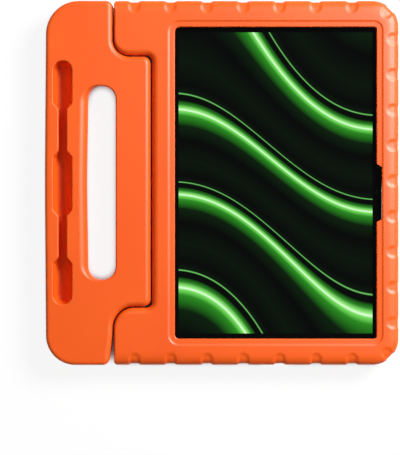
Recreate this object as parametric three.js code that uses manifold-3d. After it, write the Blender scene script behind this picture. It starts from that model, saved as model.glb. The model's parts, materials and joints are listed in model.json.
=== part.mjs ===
// Foam tablet case for children, with a hinged carrying handle that holds a stylus and folds back
// into a stand, and the slab tablet that it holds. Millimetres, +Z up.
// The case lies on its back with the screen up: X runs to the right across the screen, Y runs up
// the screen, and Z comes out of it. Lengths are first worked out from the middle of the tablet,
// and the whole case is then centred on its outer width.

import * as THREE from "three";
import { mergeVertices } from "three/addons/utils/BufferGeometryUtils.js";
import Module from "manifold-3d";

const wasm = await Module();
wasm.setup();

// Clearance between two pieces that touch on the real case
const FIT_GAP = 0.3;
// Clearance round the hinge pins, where the handle turns
const RUNNING_GAP = 0.08;
// How far a cutter runs past the face that it opens
const OVERRUN = 1.5;
// Largest distance between a round corner and its chords
const CHORD_ERROR = 0.12;
// Radius of a slot's round end against half its width, which leaves the end a short flat
const ROUND_END = 0.98;

// The tablet
const TABLET_WIDTH = 166.4;
const TABLET_HEIGHT = 254;
const TABLET_THICKNESS = 6.1;
const TABLET_CORNER = 10;
const TABLET_BACK_EDGE = 1.2;
const HOUSING_WALL = 1.6;
const HOUSING_FLOOR = 0.9;
const GLASS_THICKNESS = 0.8;
const GLASS_FRAME = 0.9;
const DISPLAY_BORDER_SIDE = 7.2;
const DISPLAY_BORDER_END = 9;
const DISPLAY_THICKNESS = 1.3;

// The foam body round the tablet
const CASE_THICKNESS = 23;
const PAD_HEIGHT = 0.8;
const BACK_WALL = 9.5;
const POCKET_GAP = 0.4;
const SIDE_WALL = 12.7;
const END_WALL = 15.2;
const HINGE_BAR = 13.1;
const BODY_CORNER = 20.5;
const FRONT_EDGE = { reach: 6, depth: 7.5 };
const BACK_EDGE = { reach: 9, depth: 9 };
const SEAM_EDGE = { reach: 1.6, depth: 1.8 };
const RECESS_EDGE = { reach: 5, depth: 4.5 };

// The lip that holds the tablet, and the window inside it
const LIP_OVERLAP_SIDE = 4.3;
const LIP_OVERLAP_END = 5;
const LIP_TOP_DROP = 1.25;
const LIP_SLOPE = 0.5;
const LIP_BAND = 4.2;
const LIP_EDGE = 0.9;
const LIP_STEP_WIDTH = 1.2;
const WINDOW_CORNERS = { bottomLeft: 3.2, bottomRight: 2.2, topRight: 1.8, topLeft: 4 };
const CAMERA_NOTCH_LENGTH = 40.8;
const CAMERA_NOTCH_Y = -7.9;
const CAMERA_NOTCH_FLARE = 2.6;
const CAMERA_NOTCH_GAP = 0.1;

// Grip scallops round the edge, and the pads on the back
const SCALLOP_WIDTH = 9.4;
const SCALLOP_DEPTH = 1.2;
const SCALLOP_REACH_FRONT = 9.6;
const SCALLOP_REACH_BACK = 14;
const SCALLOP_FROM_SIDE = 36.5;
const SCALLOP_PITCH_X = 28.4;
const SCALLOP_PITCH_Y = 27.76;
const PAD_LENGTH = 9.5;
const PAD_WIDTH = 5.6;
const PAD_SLOPE = 0.7;
const PAD_SIDE_INSET = 24;
const PAD_END_INSETS = [20.3, 32];

// Openings in the foam body
const SLOT_CORNER = 4;
const SLOT_MOUTH = 0.8;
const BUTTON_SLOT = { aboveKeys: 4.6, belowKeys: 3.7 };
const STYLUS_SLOT = { length: 108, fromTop: 139 };
const LENS_OPENING = { width: 20.5, height: 32.4, corner: 8, fromSide: 18.5, fromTop: 19.6 };
const LENS_FLARE = { side: 3.2, top: 6.2, bottom: 0.8, depth: 6.5 };
const PORT_NOTCH = { width: 20, corner: 3, wall: 3.4 };
const PORT_DOOR = { width: 12.6, height: 5 };
const SOUND_HOLE = { diameter: 4.3, pitch: 7.3, count: 4, offset: 48.7, wall: 3.5 };
const SOUND_DUCT_HEIGHT = 2.6;

// The hinge between body and handle
const HINGE_Z = 9.5;
const KNUCKLE_RADIUS = 14;
const LUG_RADIUS = 14.7;
const SEAM_GAP = 1.1;
const SHOULDER_GAP = 1;
const RELIEF_REACH = 11;
const TOP_LUG_CORNER = 12;
const BOTTOM_LUG_CORNER = 15.5;
const LUG_OUTER_CORNER = 2.5;
const RECESS_CORNER = 5;
const TONGUE_CORNER = 6;
const TOP_LUG_LENGTH = 42.6;
const BOTTOM_LUG_LENGTH = 44.8;
const PIN_RADIUS = 3;
const PIN_IN_LUG = 26;
const PIN_IN_TONGUE = 24;
const BUSH_WALL = 1.5;

// The handle
const HANDLE_THICKNESS = 20;
const HANDLE_TOP_CORNER = 26;
const HANDLE_BOTTOM_CORNER = 23;
const HANDLE_BOW = { rise: 1.1, radius: 2800 };
const SHOULDER_CORNER = 5.5;
const SHOULDER_SLANT = { length: 24, across: 3, corner: 40 };
const SHOULDER_EDGE = { reach: 3, depth: 3.2 };
const KNUCKLE_EDGE = { reach: 4.5, depth: 5 };
const TONGUE_EDGE = { reach: 4, depth: 4 };
const GRIP_FROM_AXIS = 13.4;
const GRIP_WIDTH = 21.6;
const GRIP_LENGTH = 152;
const GRIP_FINGER_EDGE = { reach: 7, depth: 8 };
const GRIP_EDGE = { reach: 1.2, depth: 1.6 };
const STYLUS_FROM_GRIP = 20;
const STYLUS_FROM_EDGE = 14.1;

// The stylus holder in the handle: three wide finger openings over one round channel
const STYLUS_CHANNEL = 10;
const STYLUS_NECK = 6.1;
const STYLUS_OPENING = 14.3;
const STYLUS_DEPTH = 13;
const STYLUS_TAPER = 5;
const STYLUS_MOUTH = { reach: 0.9, depth: 1.2 };
const STYLUS_OPENINGS = [
  { top: 95.4, bottom: 57.6, closed: "top" },
  { top: 25.2, bottom: -26, closed: "none" },
  { top: -58.1, bottom: -94.8, closed: "bottom" },
];

// Pieces inside the tablet and on its edge
const CELL_THICKNESS = 2.2;
const CELL_FROM_TOP = 43.4;
const CELL_FROM_BOTTOM = 15.4;
const CELL_MARGIN = 4;
const CELL_SPACING = 2;
const CELL_CORNER = 2;
const BOARD_FROM_CELLS = 1.5;
const BOARD_FROM_LENS = 6.6;
const BOARD_HEIGHT = 26;
const BOARD_THICKNESS = 1.2;
const SPEAKER = { width: 26, height: 10.5, thickness: 2, corner: 1.5, fromLens: 8 };
const SPEAKER_SLIT = { length: 3.2, height: 1.2, pitch: 5.6, count: 4 };
const REAR_PLATE_THICKNESS = 1.3;
const REAR_LENS = { radius: 6.5, thickness: 0.9, fromTop: 9 };
const REAR_SENSOR = { radius: 4.8, thickness: 0.5, fromLens: 14.9 };
const LENS_MODULE = { width: 17, height: 27, thickness: 2.2 };
const FRONT_CAMERA = { radius: 1.3, height: 2.4, fromEdge: 3.2, y: -6.8 };
const BUTTON_TRAVEL = 0.4;
const BUTTON_PROUD = 0.6;
const BUTTON_HEIGHT = 2.2;
const BUTTON_FLANGE = { extra: 1.1, thickness: 0.4 };
const BUTTONS = [
  { name: "power_button", length: 10, fromTop: 34.6 },
  { name: "volume_up_button", length: 10.6, fromTop: 52.4 },
  { name: "volume_down_button", length: 10.6, fromTop: 66 },
];
const SWITCH_STRIP = { pastKeys: 1, thickness: 0.6, height: 3 };
const CHARGE_STRIP = { length: 62, height: 2.4, thickness: 0.6 };
const USB = { width: 9.2, height: 3.4, depth: 8, wall: 0.45, blade: 0.7, bladeWidth: 6.2 };

// Places that follow from the sizes
const backZ = PAD_HEIGHT;
const frontZ = CASE_THICKNESS;
const floorZ = backZ + BACK_WALL;
const tabletBottom = floorZ + FIT_GAP;
const tabletTop = tabletBottom + TABLET_THICKNESS;
const tabletMid = (tabletBottom + tabletTop) / 2;
const lipUnderside = tabletTop + FIT_GAP;
const glassBottom = tabletTop - GLASS_THICKNESS;
const cavityFloor = tabletBottom + HOUSING_FLOOR;
const innerFloor = cavityFloor + FIT_GAP;
const pocketX = TABLET_WIDTH / 2 + POCKET_GAP;
const pocketY = TABLET_HEIGHT / 2 + POCKET_GAP;
const windowX = TABLET_WIDTH / 2 - LIP_OVERLAP_SIDE;
const windowY = TABLET_HEIGHT / 2 - LIP_OVERLAP_END;
const bodyRight = pocketX + SIDE_WALL;
const halfHeight = pocketY + END_WALL;
const recessX = -pocketX - HINGE_BAR;
const knuckleX = recessX - SEAM_GAP;
const axisX = knuckleX - KNUCKLE_RADIUS;
const lugX = axisX - LUG_RADIUS;
const shoulderX = lugX - SHOULDER_GAP;
const gripRight = axisX - GRIP_FROM_AXIS;
const gripLeft = gripRight - GRIP_WIDTH;
const stylusX = gripLeft - STYLUS_FROM_GRIP;
const handleLeft = stylusX - STYLUS_FROM_EDGE;
const handleBack = frontZ - HANDLE_THICKNESS;
const lugTopY = halfHeight - TOP_LUG_LENGTH;
const lugBottomY = -halfHeight + BOTTOM_LUG_LENGTH;
const tongueTopY = lugTopY - SEAM_GAP;
const tongueBottomY = lugBottomY + SEAM_GAP;
const bushBore = PIN_RADIUS + RUNNING_GAP;
const bushRadius = bushBore + BUSH_WALL;
const cavityX = TABLET_WIDTH / 2 - HOUSING_WALL;
const cavityY = TABLET_HEIGHT / 2 - HOUSING_WALL;
const keysTop = halfHeight - BUTTONS[0].fromTop + BUTTONS[0].length / 2;
const keysBottom = halfHeight - BUTTONS.at(-1).fromTop - BUTTONS.at(-1).length / 2;

const foam = new THREE.MeshStandardMaterial({ color: 0xff6522, roughness: 0.62, metalness: 0 });
const darkMetal = new THREE.MeshStandardMaterial({ color: 0x2b2d30, roughness: 0.45, metalness: 0.8 });
const greyMetal = new THREE.MeshStandardMaterial({ color: 0x6c6d72, roughness: 0.4, metalness: 0.7 });
const glass = new THREE.MeshStandardMaterial({ color: 0x050607, roughness: 0.08, metalness: 0 });
const screen = new THREE.MeshStandardMaterial({ color: 0x0a140a, roughness: 0.3, metalness: 0 });
const steel = new THREE.MeshStandardMaterial({ color: 0xb4b7ba, roughness: 0.3, metalness: 1 });
const nylon = new THREE.MeshStandardMaterial({ color: 0xe8e6df, roughness: 0.5, metalness: 0 });
const circuit = new THREE.MeshStandardMaterial({ color: 0x1f5a3a, roughness: 0.6, metalness: 0 });
const cellFoil = new THREE.MeshStandardMaterial({ color: 0x9a9da3, roughness: 0.5, metalness: 0.4 });
const blackPlastic = new THREE.MeshStandardMaterial({ color: 0x151617, roughness: 0.5, metalness: 0 });

// An outline with round corners, drawn in by an inset of its own on each edge.
// corners: [x, y, radius] anticlockwise; insets[i] belongs to the edge that leaves corner i.
function outline(corners, insets) {
  const count = corners.length;
  const heading = corners.map(([x, y], i) => {
    const [nextX, nextY] = corners[(i + 1) % count];
    const length = Math.hypot(nextX - x, nextY - y);
    return [(nextX - x) / length, (nextY - y) / length];
  });
  const points = [];
  corners.forEach(([x, y, radius], i) => {
    const before = (i + count - 1) % count;
    const [ax, ay] = heading[before];
    const [bx, by] = heading[i];
    const sine = ax * by - ay * bx;
    const cosine = ax * bx + ay * by;
    const turn = Math.atan2(sine, cosine);
    // the two edges, moved inwards, meet at the new corner
    const slide = (insets[i] - insets[before] * cosine) / sine;
    const cornerX = x - ay * insets[before] - ax * slide;
    const cornerY = y + ax * insets[before] - ay * slide;
    if (radius === 0) {
      points.push(new THREE.Vector2(cornerX, cornerY));
      return;
    }
    const side = Math.sign(turn);
    const drawnIn = (insets[i] + insets[before]) / 2;
    const bend = Math.max(radius - side * drawnIn, CHORD_ERROR);
    const reach = (side * bend) / (1 + cosine);
    const centreX = cornerX + reach * (-ay - by);
    const centreY = cornerY + reach * (ax + bx);
    const steps = Math.max(2, Math.ceil(Math.abs(turn) / (2 * Math.acos(1 - CHORD_ERROR / radius))));
    for (let k = 0; k <= steps; k++) {
      const angle = (turn * k) / steps;
      const outX = Math.cos(angle) * ay + Math.sin(angle) * ax;
      const outY = -Math.cos(angle) * ax + Math.sin(angle) * ay;
      points.push(new THREE.Vector2(centreX + side * bend * outX, centreY + side * bend * outY));
    }
  });
  return points;
}

// A closed solid through outlines of equal point counts, from the lowest level to the highest.
// levels: heights; insetsAt(z) gives the inset of each edge at a height.
function loft(corners, levels, insetsAt) {
  const positions = [];
  const faces = [];
  const rings = levels.map((z) => outline(corners, insetsAt(z)));
  const count = rings[0].length;
  rings.forEach((ring, level) => ring.forEach((p) => positions.push(p.x, p.y, levels[level])));
  for (let level = 0; level + 1 < rings.length; level++) {
    for (let i = 0; i < count; i++) {
      const a = level * count + i;
      const b = level * count + ((i + 1) % count);
      faces.push(a, b, b + count, a, b + count, a + count);
    }
  }
  const top = (rings.length - 1) * count;
  for (const [a, b, c] of THREE.ShapeUtils.triangulateShape(rings[0], [])) faces.push(a, c, b);
  for (const [a, b, c] of THREE.ShapeUtils.triangulateShape(rings.at(-1), [])) {
    faces.push(top + a, top + b, top + c);
  }
  const geometry = new THREE.BufferGeometry();
  geometry.setAttribute("position", new THREE.Float32BufferAttribute(positions, 3));
  geometry.setIndex(faces);
  return geometry;
}

// Straight-walled block from an outline
function block(corners, low, high) {
  return loft(corners, [low, high], () => corners.map(() => 0));
}

// Corners of a rectangle, anticlockwise from its lower left
function rectangle(left, bottom, right, top, radius) {
  return [
    [left, bottom, radius],
    [right, bottom, radius],
    [right, top, radius],
    [left, top, radius],
  ];
}

// Box between two opposite corners
function box(x0, y0, z0, x1, y1, z1) {
  const geometry = new THREE.BoxGeometry(x1 - x0, y1 - y0, z1 - z0);
  return geometry.translate((x0 + x1) / 2, (y0 + y1) / 2, (z0 + z1) / 2);
}

// Upright round bar
function post(x, y, radius, low, high, sides = 24) {
  const geometry = new THREE.CylinderGeometry(radius, radius, high - low, sides);
  return geometry.rotateX(Math.PI / 2).translate(x, y, (low + high) / 2);
}

// Round bar along Y
function barAlongY(x, z, radius, low, high, sides = 24) {
  const geometry = new THREE.CylinderGeometry(radius, radius, high - low, sides);
  return geometry.translate(x, (low + high) / 2, z);
}

// How far a rounded edge has drawn in at a height, as part of an ellipse: `front` turns in below
// `top` and `back` turns in above `bottom`.
function edgeInset(z, bottom, top, back, front) {
  const quarter = (t, reach) => (t <= 0 ? 0 : reach * (1 - Math.sqrt(Math.max(0, 1 - t * t))));
  const inFront = quarter((z - (top - front.depth)) / front.depth, front.reach);
  const atBack = quarter((bottom + back.depth - z) / back.depth, back.reach);
  return inFront + atBack;
}

// Heights that divide a rounded edge into equal turns, from the face inwards
function turnLevels(face, depth, steps) {
  const inwards = [];
  for (let k = 0; k <= steps; k++) {
    inwards.push(face + depth * (1 - Math.cos((Math.PI / 2) * (k / steps))));
  }
  return inwards;
}

function levelsBetween(bottom, top, backDepth, frontDepth, steps) {
  const low = turnLevels(bottom, backDepth, steps);
  const high = turnLevels(top, -frontDepth, steps).reverse();
  return [...low, ...high];
}

function solidOf(geometry) {
  const bare = geometry.clone();
  bare.deleteAttribute("normal");
  bare.deleteAttribute("uv");
  const merged = mergeVertices(bare, 1e-4);
  return new wasm.Manifold(
    new wasm.Mesh({
      numProp: 3,
      vertProperties: new Float32Array(merged.attributes.position.array),
      triVerts: new Uint32Array(merged.index.array),
    }),
  );
}

function joined(geometries) {
  return geometries.map(solidOf).reduce((all, next) => all.add(next));
}

function geometryOf(solid) {
  const mesh = solid.getMesh();
  const geometry = new THREE.BufferGeometry();
  geometry.setAttribute("position", new THREE.Float32BufferAttribute(mesh.vertProperties, 3));
  geometry.setIndex(new THREE.BufferAttribute(mesh.triVerts, 1));
  return geometry;
}

// Outline of the foam body: the block round the tablet, and the two lugs that carry the handle
const bodyCorners = [
  [lugX, -halfHeight, LUG_OUTER_CORNER],
  [bodyRight, -halfHeight, BODY_CORNER],
  [bodyRight, halfHeight, BODY_CORNER],
  [lugX, halfHeight, LUG_OUTER_CORNER],
  [lugX, lugTopY, TOP_LUG_CORNER],
  [recessX, lugTopY, RECESS_CORNER],
  [recessX, lugBottomY, RECESS_CORNER],
  [lugX, lugBottomY, BOTTOM_LUG_CORNER],
];

// Each edge of the body, in the order of its corners
const bodyEdges = ["outer", "outer", "outer", "lug", "seam", "seam", "seam", "lug"];

// The lug's end is round about the hinge axis below the axis, so that the handle can fold back
function lugInset(z) {
  const drop = Math.max(0, HINGE_Z - z);
  const belowAxis = LUG_RADIUS - Math.sqrt(LUG_RADIUS ** 2 - drop ** 2);
  return belowAxis + edgeInset(z, backZ - SEAM_EDGE.depth, frontZ, SEAM_EDGE, SEAM_EDGE);
}

function bodyInset(edge, z) {
  if (edge === "outer") return edgeInset(z, backZ, frontZ, BACK_EDGE, FRONT_EDGE);
  if (edge === "lug") return lugInset(z);
  return edgeInset(z, backZ, frontZ, SEAM_EDGE, RECESS_EDGE);
}

// The surface that the scallops are sunk to: it lies one scallop depth inside the rim and comes
// out through the front and back faces where the scallops end.
function scallopFloor() {
  const skin = 0.05;
  const low = backZ - skin;
  const high = frontZ + skin;
  const front = { reach: SCALLOP_REACH_FRONT, depth: FRONT_EDGE.depth + 2 * SCALLOP_DEPTH };
  const back = { reach: SCALLOP_REACH_BACK, depth: BACK_EDGE.depth + 2 * SCALLOP_DEPTH };
  const levels = levelsBetween(low, high, back.depth, front.depth, 3);
  return loft(bodyCorners, levels, (z) =>
    bodyEdges.map((edge) =>
      edge === "outer" ? SCALLOP_DEPTH + edgeInset(z, low, high, back, front) : -OVERRUN,
    ),
  );
}

// One scallop's upright outline, from outside the rim to its round inner end
function scallop(x, y, inwards) {
  const half = SCALLOP_WIDTH / 2;
  const ways = [
    { reach: SCALLOP_REACH_FRONT, low: frontZ / 2, high: frontZ + OVERRUN },
    { reach: SCALLOP_REACH_BACK, low: -OVERRUN, high: frontZ / 2 },
  ];
  const upright = ways.map(({ reach, low, high }) => {
    const corners = [
      [-SCALLOP_WIDTH, -half, 0],
      [reach, -half, half * ROUND_END],
      [reach, half, half * ROUND_END],
      [-SCALLOP_WIDTH, half, 0],
    ];
    return block(corners, low, high).rotateZ(inwards).translate(x, y, 0);
  });
  return joined(upright);
}

// Middles of the scallops along the top and bottom, and up the right side
const scallopsAcross = [];
for (let x = bodyRight - SCALLOP_FROM_SIDE; x > lugX + SCALLOP_WIDTH; x -= SCALLOP_PITCH_X) {
  scallopsAcross.push(x);
}
const scallopsUp = [0];
const lastScallopY = halfHeight - BODY_CORNER - SCALLOP_WIDTH / 2;
for (let y = SCALLOP_PITCH_Y; y < lastScallopY; y += SCALLOP_PITCH_Y) scallopsUp.push(y, -y);

function allScallops() {
  const cornerX = bodyRight - BODY_CORNER + BODY_CORNER * Math.SQRT1_2;
  const cornerY = halfHeight - BODY_CORNER + BODY_CORNER * Math.SQRT1_2;
  const places = [
    ...scallopsAcross.map((x) => [x, halfHeight, -Math.PI / 2]),
    ...scallopsAcross.map((x) => [x, -halfHeight, Math.PI / 2]),
    ...scallopsUp.map((y) => [bodyRight, y, Math.PI]),
    [cornerX, cornerY, (-3 * Math.PI) / 4],
    [cornerX, -cornerY, (3 * Math.PI) / 4],
  ];
  return places.map(([x, y, inwards]) => scallop(x, y, inwards)).reduce((all, next) => all.add(next));
}

// Corners of the rear lens opening
const lensRight = bodyRight - LENS_OPENING.fromSide;
const lensTop = halfHeight - LENS_OPENING.fromTop;
const lensX = lensRight - LENS_OPENING.width / 2;
const lensY = lensTop - LENS_OPENING.height / 2;
const lensCorners = rectangle(
  lensRight - LENS_OPENING.width,
  lensTop - LENS_OPENING.height,
  lensRight,
  lensTop,
  LENS_OPENING.corner,
);

// One low oval pad on the back, with a flat top to lie on
function pad(x, y) {
  const long = PAD_LENGTH / 2;
  const across = PAD_WIDTH / 2;
  const corners = rectangle(x - long, y - across, x + long, y + across, across * ROUND_END);
  const root = backZ + FIT_GAP;
  return loft(corners, [0, root], (z) => corners.map(() => (z === 0 ? PAD_SLOPE : 0)));
}

function backPads() {
  const clearOfLens = (x, y) =>
    Math.abs(x - lensX) > LENS_OPENING.width / 2 + LENS_FLARE.side + PAD_LENGTH ||
    Math.abs(y - lensY) > LENS_OPENING.height / 2 + LENS_FLARE.top + PAD_WIDTH;
  const places = [];
  for (const [row, inset] of PAD_END_INSETS.entries()) {
    for (const x of scallopsAcross) {
      const shifted = row === 0 ? x - SCALLOP_PITCH_X / 2 : x;
      if (shifted > recessX + PAD_LENGTH) {
        places.push([shifted, halfHeight - inset], [shifted, inset - halfHeight]);
      }
    }
  }
  const sideLimit = halfHeight - Math.max(...PAD_END_INSETS) - SCALLOP_PITCH_Y / 2;
  for (const y of scallopsUp) {
    const shifted = y + SCALLOP_PITCH_Y / 2;
    if (Math.abs(shifted) < sideLimit) places.push([bodyRight - PAD_SIDE_INSET, shifted]);
  }
  return places.filter(([x, y]) => clearOfLens(x, y)).map(([x, y]) => pad(x, y));
}

// Window with the stepped lip round it: the cut widens at the lip's rounded edge, runs out along
// the sloping band and ends in the small step up to the front face.
function windowCut() {
  const lipTop = frontZ - LIP_TOP_DROP;
  const edgeTop = lipTop - LIP_SLOPE;
  const corners = [
    [-windowX, -windowY, WINDOW_CORNERS.bottomLeft],
    [windowX, -windowY, WINDOW_CORNERS.bottomRight],
    [windowX, windowY, WINDOW_CORNERS.topRight],
    [-windowX, windowY, WINDOW_CORNERS.topLeft],
  ];
  const steps = [
    [lipUnderside - OVERRUN, 0],
    [edgeTop - LIP_EDGE, 0],
    [edgeTop - LIP_EDGE * 0.4, LIP_EDGE * 0.2],
    [edgeTop, LIP_EDGE],
    [lipTop, LIP_BAND],
    [frontZ - 0.15, LIP_BAND + LIP_STEP_WIDTH],
    [frontZ, LIP_BAND + LIP_STEP_WIDTH + 0.25],
    [frontZ + OVERRUN, LIP_BAND + LIP_STEP_WIDTH + 0.25],
  ];
  const widening = new Map(steps);
  const levels = steps.map(([z]) => z);
  return loft(corners, levels, (z) => corners.map(() => -widening.get(z)));
}

// Notch in the right lip that clears the front camera
function cameraNotch() {
  const half = CAMERA_NOTCH_LENGTH / 2;
  const inner = windowX - OVERRUN;
  const flare = CAMERA_NOTCH_FLARE + OVERRUN * 0.6;
  const wall = TABLET_WIDTH / 2 + CAMERA_NOTCH_GAP;
  const corners = [
    [inner, CAMERA_NOTCH_Y - half - flare, 0],
    [wall, CAMERA_NOTCH_Y - half, 0],
    [wall, CAMERA_NOTCH_Y + half, 0],
    [inner, CAMERA_NOTCH_Y + half + flare, 0],
  ];
  return block(corners, lipUnderside - OVERRUN, frontZ + OVERRUN);
}

// Opening cut into the side wall from the back, up to the tablet's edge
function sideSlot(bottom, top) {
  const corners = [
    [pocketX - POCKET_GAP / 2, bottom, SLOT_CORNER],
    [bodyRight + OVERRUN, bottom, 0],
    [bodyRight + OVERRUN, top, 0],
    [pocketX - POCKET_GAP / 2, top, SLOT_CORNER],
  ];
  return mouthCut(corners, lipUnderside + FIT_GAP);
}

// Notch at the lower edge for the charging plug, with a door through to the tablet
function portCuts() {
  const half = PORT_NOTCH.width / 2;
  const inner = -pocketY - PORT_NOTCH.wall;
  const corners = [
    [-half, -halfHeight - OVERRUN, 0],
    [half, -halfHeight - OVERRUN, 0],
    [half, inner, PORT_NOTCH.corner],
    [-half, inner, PORT_NOTCH.corner],
  ];
  const low = tabletMid - PORT_DOOR.height / 2;
  const high = tabletMid + PORT_DOOR.height / 2;
  const door = box(-PORT_DOOR.width / 2, inner - FIT_GAP, low, PORT_DOOR.width / 2, -pocketY + 0.1, high);
  return [mouthCut(corners, lipUnderside + FIT_GAP), door];
}

// A cut from the back with a softened mouth
function mouthCut(corners, roof) {
  const steps = new Map([
    [-OVERRUN, -SLOT_MOUTH],
    [backZ, -SLOT_MOUTH],
    [backZ + SLOT_MOUTH * 0.35, -SLOT_MOUTH * 0.4],
    [backZ + SLOT_MOUTH, 0],
    [roof, 0],
  ]);
  return loft(corners, [...steps.keys()], (z) => corners.map(() => steps.get(z)));
}

// Two rows of sound holes at the lower edge, each with a duct to the tablet's speakers
function soundCuts() {
  const y = -pocketY - SOUND_HOLE.wall;
  const cuts = [];
  for (const side of [-1, 1]) {
    const middle = side * SOUND_HOLE.offset;
    const half = ((SOUND_HOLE.count - 1) / 2) * SOUND_HOLE.pitch;
    for (let i = 0; i < SOUND_HOLE.count; i++) {
      const x = middle - half + i * SOUND_HOLE.pitch;
      cuts.push(post(x, y, SOUND_HOLE.diameter / 2, -OVERRUN, tabletMid, 12));
    }
    const low = tabletMid - SOUND_DUCT_HEIGHT / 2;
    const high = tabletMid + SOUND_DUCT_HEIGHT / 2;
    cuts.push(box(middle - half, y, low, middle + half, -pocketY + 0.1, high));
  }
  return cuts;
}

function lensCut() {
  const { side, top, bottom, depth } = LENS_FLARE;
  const flares = [bottom, side, top, side];
  return loft(lensCorners, [-OVERRUN, backZ, backZ + depth, floorZ + 0.1], (z) => {
    const share = THREE.MathUtils.clamp((backZ + depth - z) / depth, 0, 1);
    return flares.map((flare) => -flare * share);
  });
}

// Room below the hinge axis, under a lug's corner, for the handle's inner corner to swing through:
// a ring about the axis whose inner radius follows that corner, `up` is 1 at the top lug.
function lugRelief(tongueY, up, lugCorner) {
  const corner = lugCorner + SEAM_GAP;
  const reach = axisX - shoulderX;
  const clearance = SHOULDER_GAP - FIT_GAP;
  const profile = [];
  for (let k = 6; k >= 0; k--) {
    const along = THREE.MathUtils.lerp(SEAM_GAP / 2, corner, k / 6);
    const fillet = corner - Math.sqrt(corner ** 2 - (corner - along) ** 2);
    profile.push(new THREE.Vector2(reach - fillet - clearance, along));
  }
  profile.push(new THREE.Vector2(reach + OVERRUN, SEAM_GAP / 2), new THREE.Vector2(reach + OVERRUN, corner));
  profile.push(profile[0].clone());
  const ring = new THREE.LatheGeometry(profile, 48).rotateX(up > 0 ? 0 : Math.PI);
  const room = box(-reach - OVERRUN, -halfHeight, -HINGE_Z - OVERRUN, RELIEF_REACH, halfHeight, 0);
  return solidOf(ring).intersect(solidOf(room)).translate([axisX, tongueY, HINGE_Z]);
}

function caseShell() {
  const levels = levelsBetween(backZ, frontZ, BACK_EDGE.depth, FRONT_EDGE.depth, 4);
  const body = loft(bodyCorners, levels, (z) => bodyEdges.map((edge) => bodyInset(edge, z)));
  const pocket = rectangle(-pocketX, -pocketY, pocketX, pocketY, TABLET_CORNER);
  const seat = PIN_RADIUS + FIT_GAP;
  const cuts = [
    block(pocket, floorZ, lipUnderside),
    windowCut(),
    cameraNotch(),
    sideSlot(keysBottom - BUTTON_SLOT.belowKeys, keysTop + BUTTON_SLOT.aboveKeys),
    sideSlot(halfHeight - STYLUS_SLOT.fromTop - STYLUS_SLOT.length, halfHeight - STYLUS_SLOT.fromTop),
    ...portCuts(),
    ...soundCuts(),
    lensCut(),
    barAlongY(axisX, HINGE_Z, seat, lugTopY - OVERRUN, lugTopY + PIN_IN_LUG + FIT_GAP),
    barAlongY(axisX, HINGE_Z, seat, lugBottomY - PIN_IN_LUG - FIT_GAP, lugBottomY + OVERRUN),
  ];
  const scalloped = solidOf(body).subtract(allScallops().subtract(solidOf(scallopFloor())));
  const padded = backPads().reduce((all, next) => all.add(solidOf(next)), scalloped);
  const topRelief = lugRelief(tongueTopY, 1, TOP_LUG_CORNER);
  const bottomRelief = lugRelief(tongueBottomY, -1, BOTTOM_LUG_CORNER);
  return geometryOf(padded.subtract(joined(cuts)).subtract(topRelief).subtract(bottomRelief));
}

// Outline of the handle: the outer bar, and the tongue that fits between the lugs
const handleCorners = [
  [knuckleX, tongueBottomY, TONGUE_CORNER],
  [knuckleX, tongueTopY, TONGUE_CORNER],
  [shoulderX, tongueTopY, TOP_LUG_CORNER + SEAM_GAP],
  [shoulderX, halfHeight, SHOULDER_CORNER],
  [handleLeft + HANDLE_BOW.rise, halfHeight, HANDLE_TOP_CORNER],
  [handleLeft, 0, HANDLE_BOW.radius],
  [handleLeft + HANDLE_BOW.rise, -halfHeight, HANDLE_BOTTOM_CORNER],
  [shoulderX - SHOULDER_SLANT.across, -halfHeight, SHOULDER_CORNER],
  [shoulderX, SHOULDER_SLANT.length - halfHeight, SHOULDER_SLANT.corner],
  [shoulderX, tongueBottomY, BOTTOM_LUG_CORNER + SEAM_GAP],
];
const handleEdges = [
  "knuckle",
  "seam",
  "shoulder",
  "outer",
  "outer",
  "outer",
  "outer",
  "shoulder",
  "shoulder",
  "seam",
];

// The knuckle is round about the hinge axis below the axis, and softly rounded above it
function knuckleInset(z) {
  const drop = Math.max(0, HINGE_Z - z);
  const belowAxis = KNUCKLE_RADIUS - Math.sqrt(KNUCKLE_RADIUS ** 2 - drop ** 2);
  return belowAxis + edgeInset(z, handleBack - KNUCKLE_EDGE.depth, frontZ, KNUCKLE_EDGE, KNUCKLE_EDGE);
}

function handleInset(edge, z) {
  if (edge === "knuckle") return knuckleInset(z);
  if (edge === "outer") return edgeInset(z, handleBack, frontZ, FRONT_EDGE, FRONT_EDGE);
  if (edge === "shoulder") return edgeInset(z, handleBack, frontZ, SHOULDER_EDGE, SHOULDER_EDGE);
  return edgeInset(z, handleBack, frontZ, SEAM_EDGE, TONGUE_EDGE);
}

// Hand opening: its outer wall is deeply rounded for the fingers, the rest only softened
function gripCut() {
  const radius = (GRIP_WIDTH / 2) * ROUND_END;
  const half = GRIP_LENGTH / 2;
  const corners = [
    [gripLeft, -half, radius],
    [gripRight, -half, radius],
    [gripRight, half, radius],
    [gripLeft, half, radius],
    [gripLeft - HANDLE_BOW.rise, 0, HANDLE_BOW.radius / 4],
  ];
  const levels = [
    handleBack - OVERRUN,
    ...levelsBetween(handleBack, frontZ, GRIP_FINGER_EDGE.depth, GRIP_FINGER_EDGE.depth, 4),
    frontZ + OVERRUN,
  ];
  return loft(corners, levels, (z) => {
    const height = THREE.MathUtils.clamp(z, handleBack, frontZ);
    const finger = flareAt(height, GRIP_FINGER_EDGE);
    const plain = flareAt(height, GRIP_EDGE);
    return [-plain, -plain, -plain, -finger, -finger];
  });
}

// How far a mouth has opened at a height, where the edge round it is rounded at both faces
function flareAt(z, edge) {
  return edgeInset(z, handleBack, frontZ, edge, edge);
}

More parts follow.
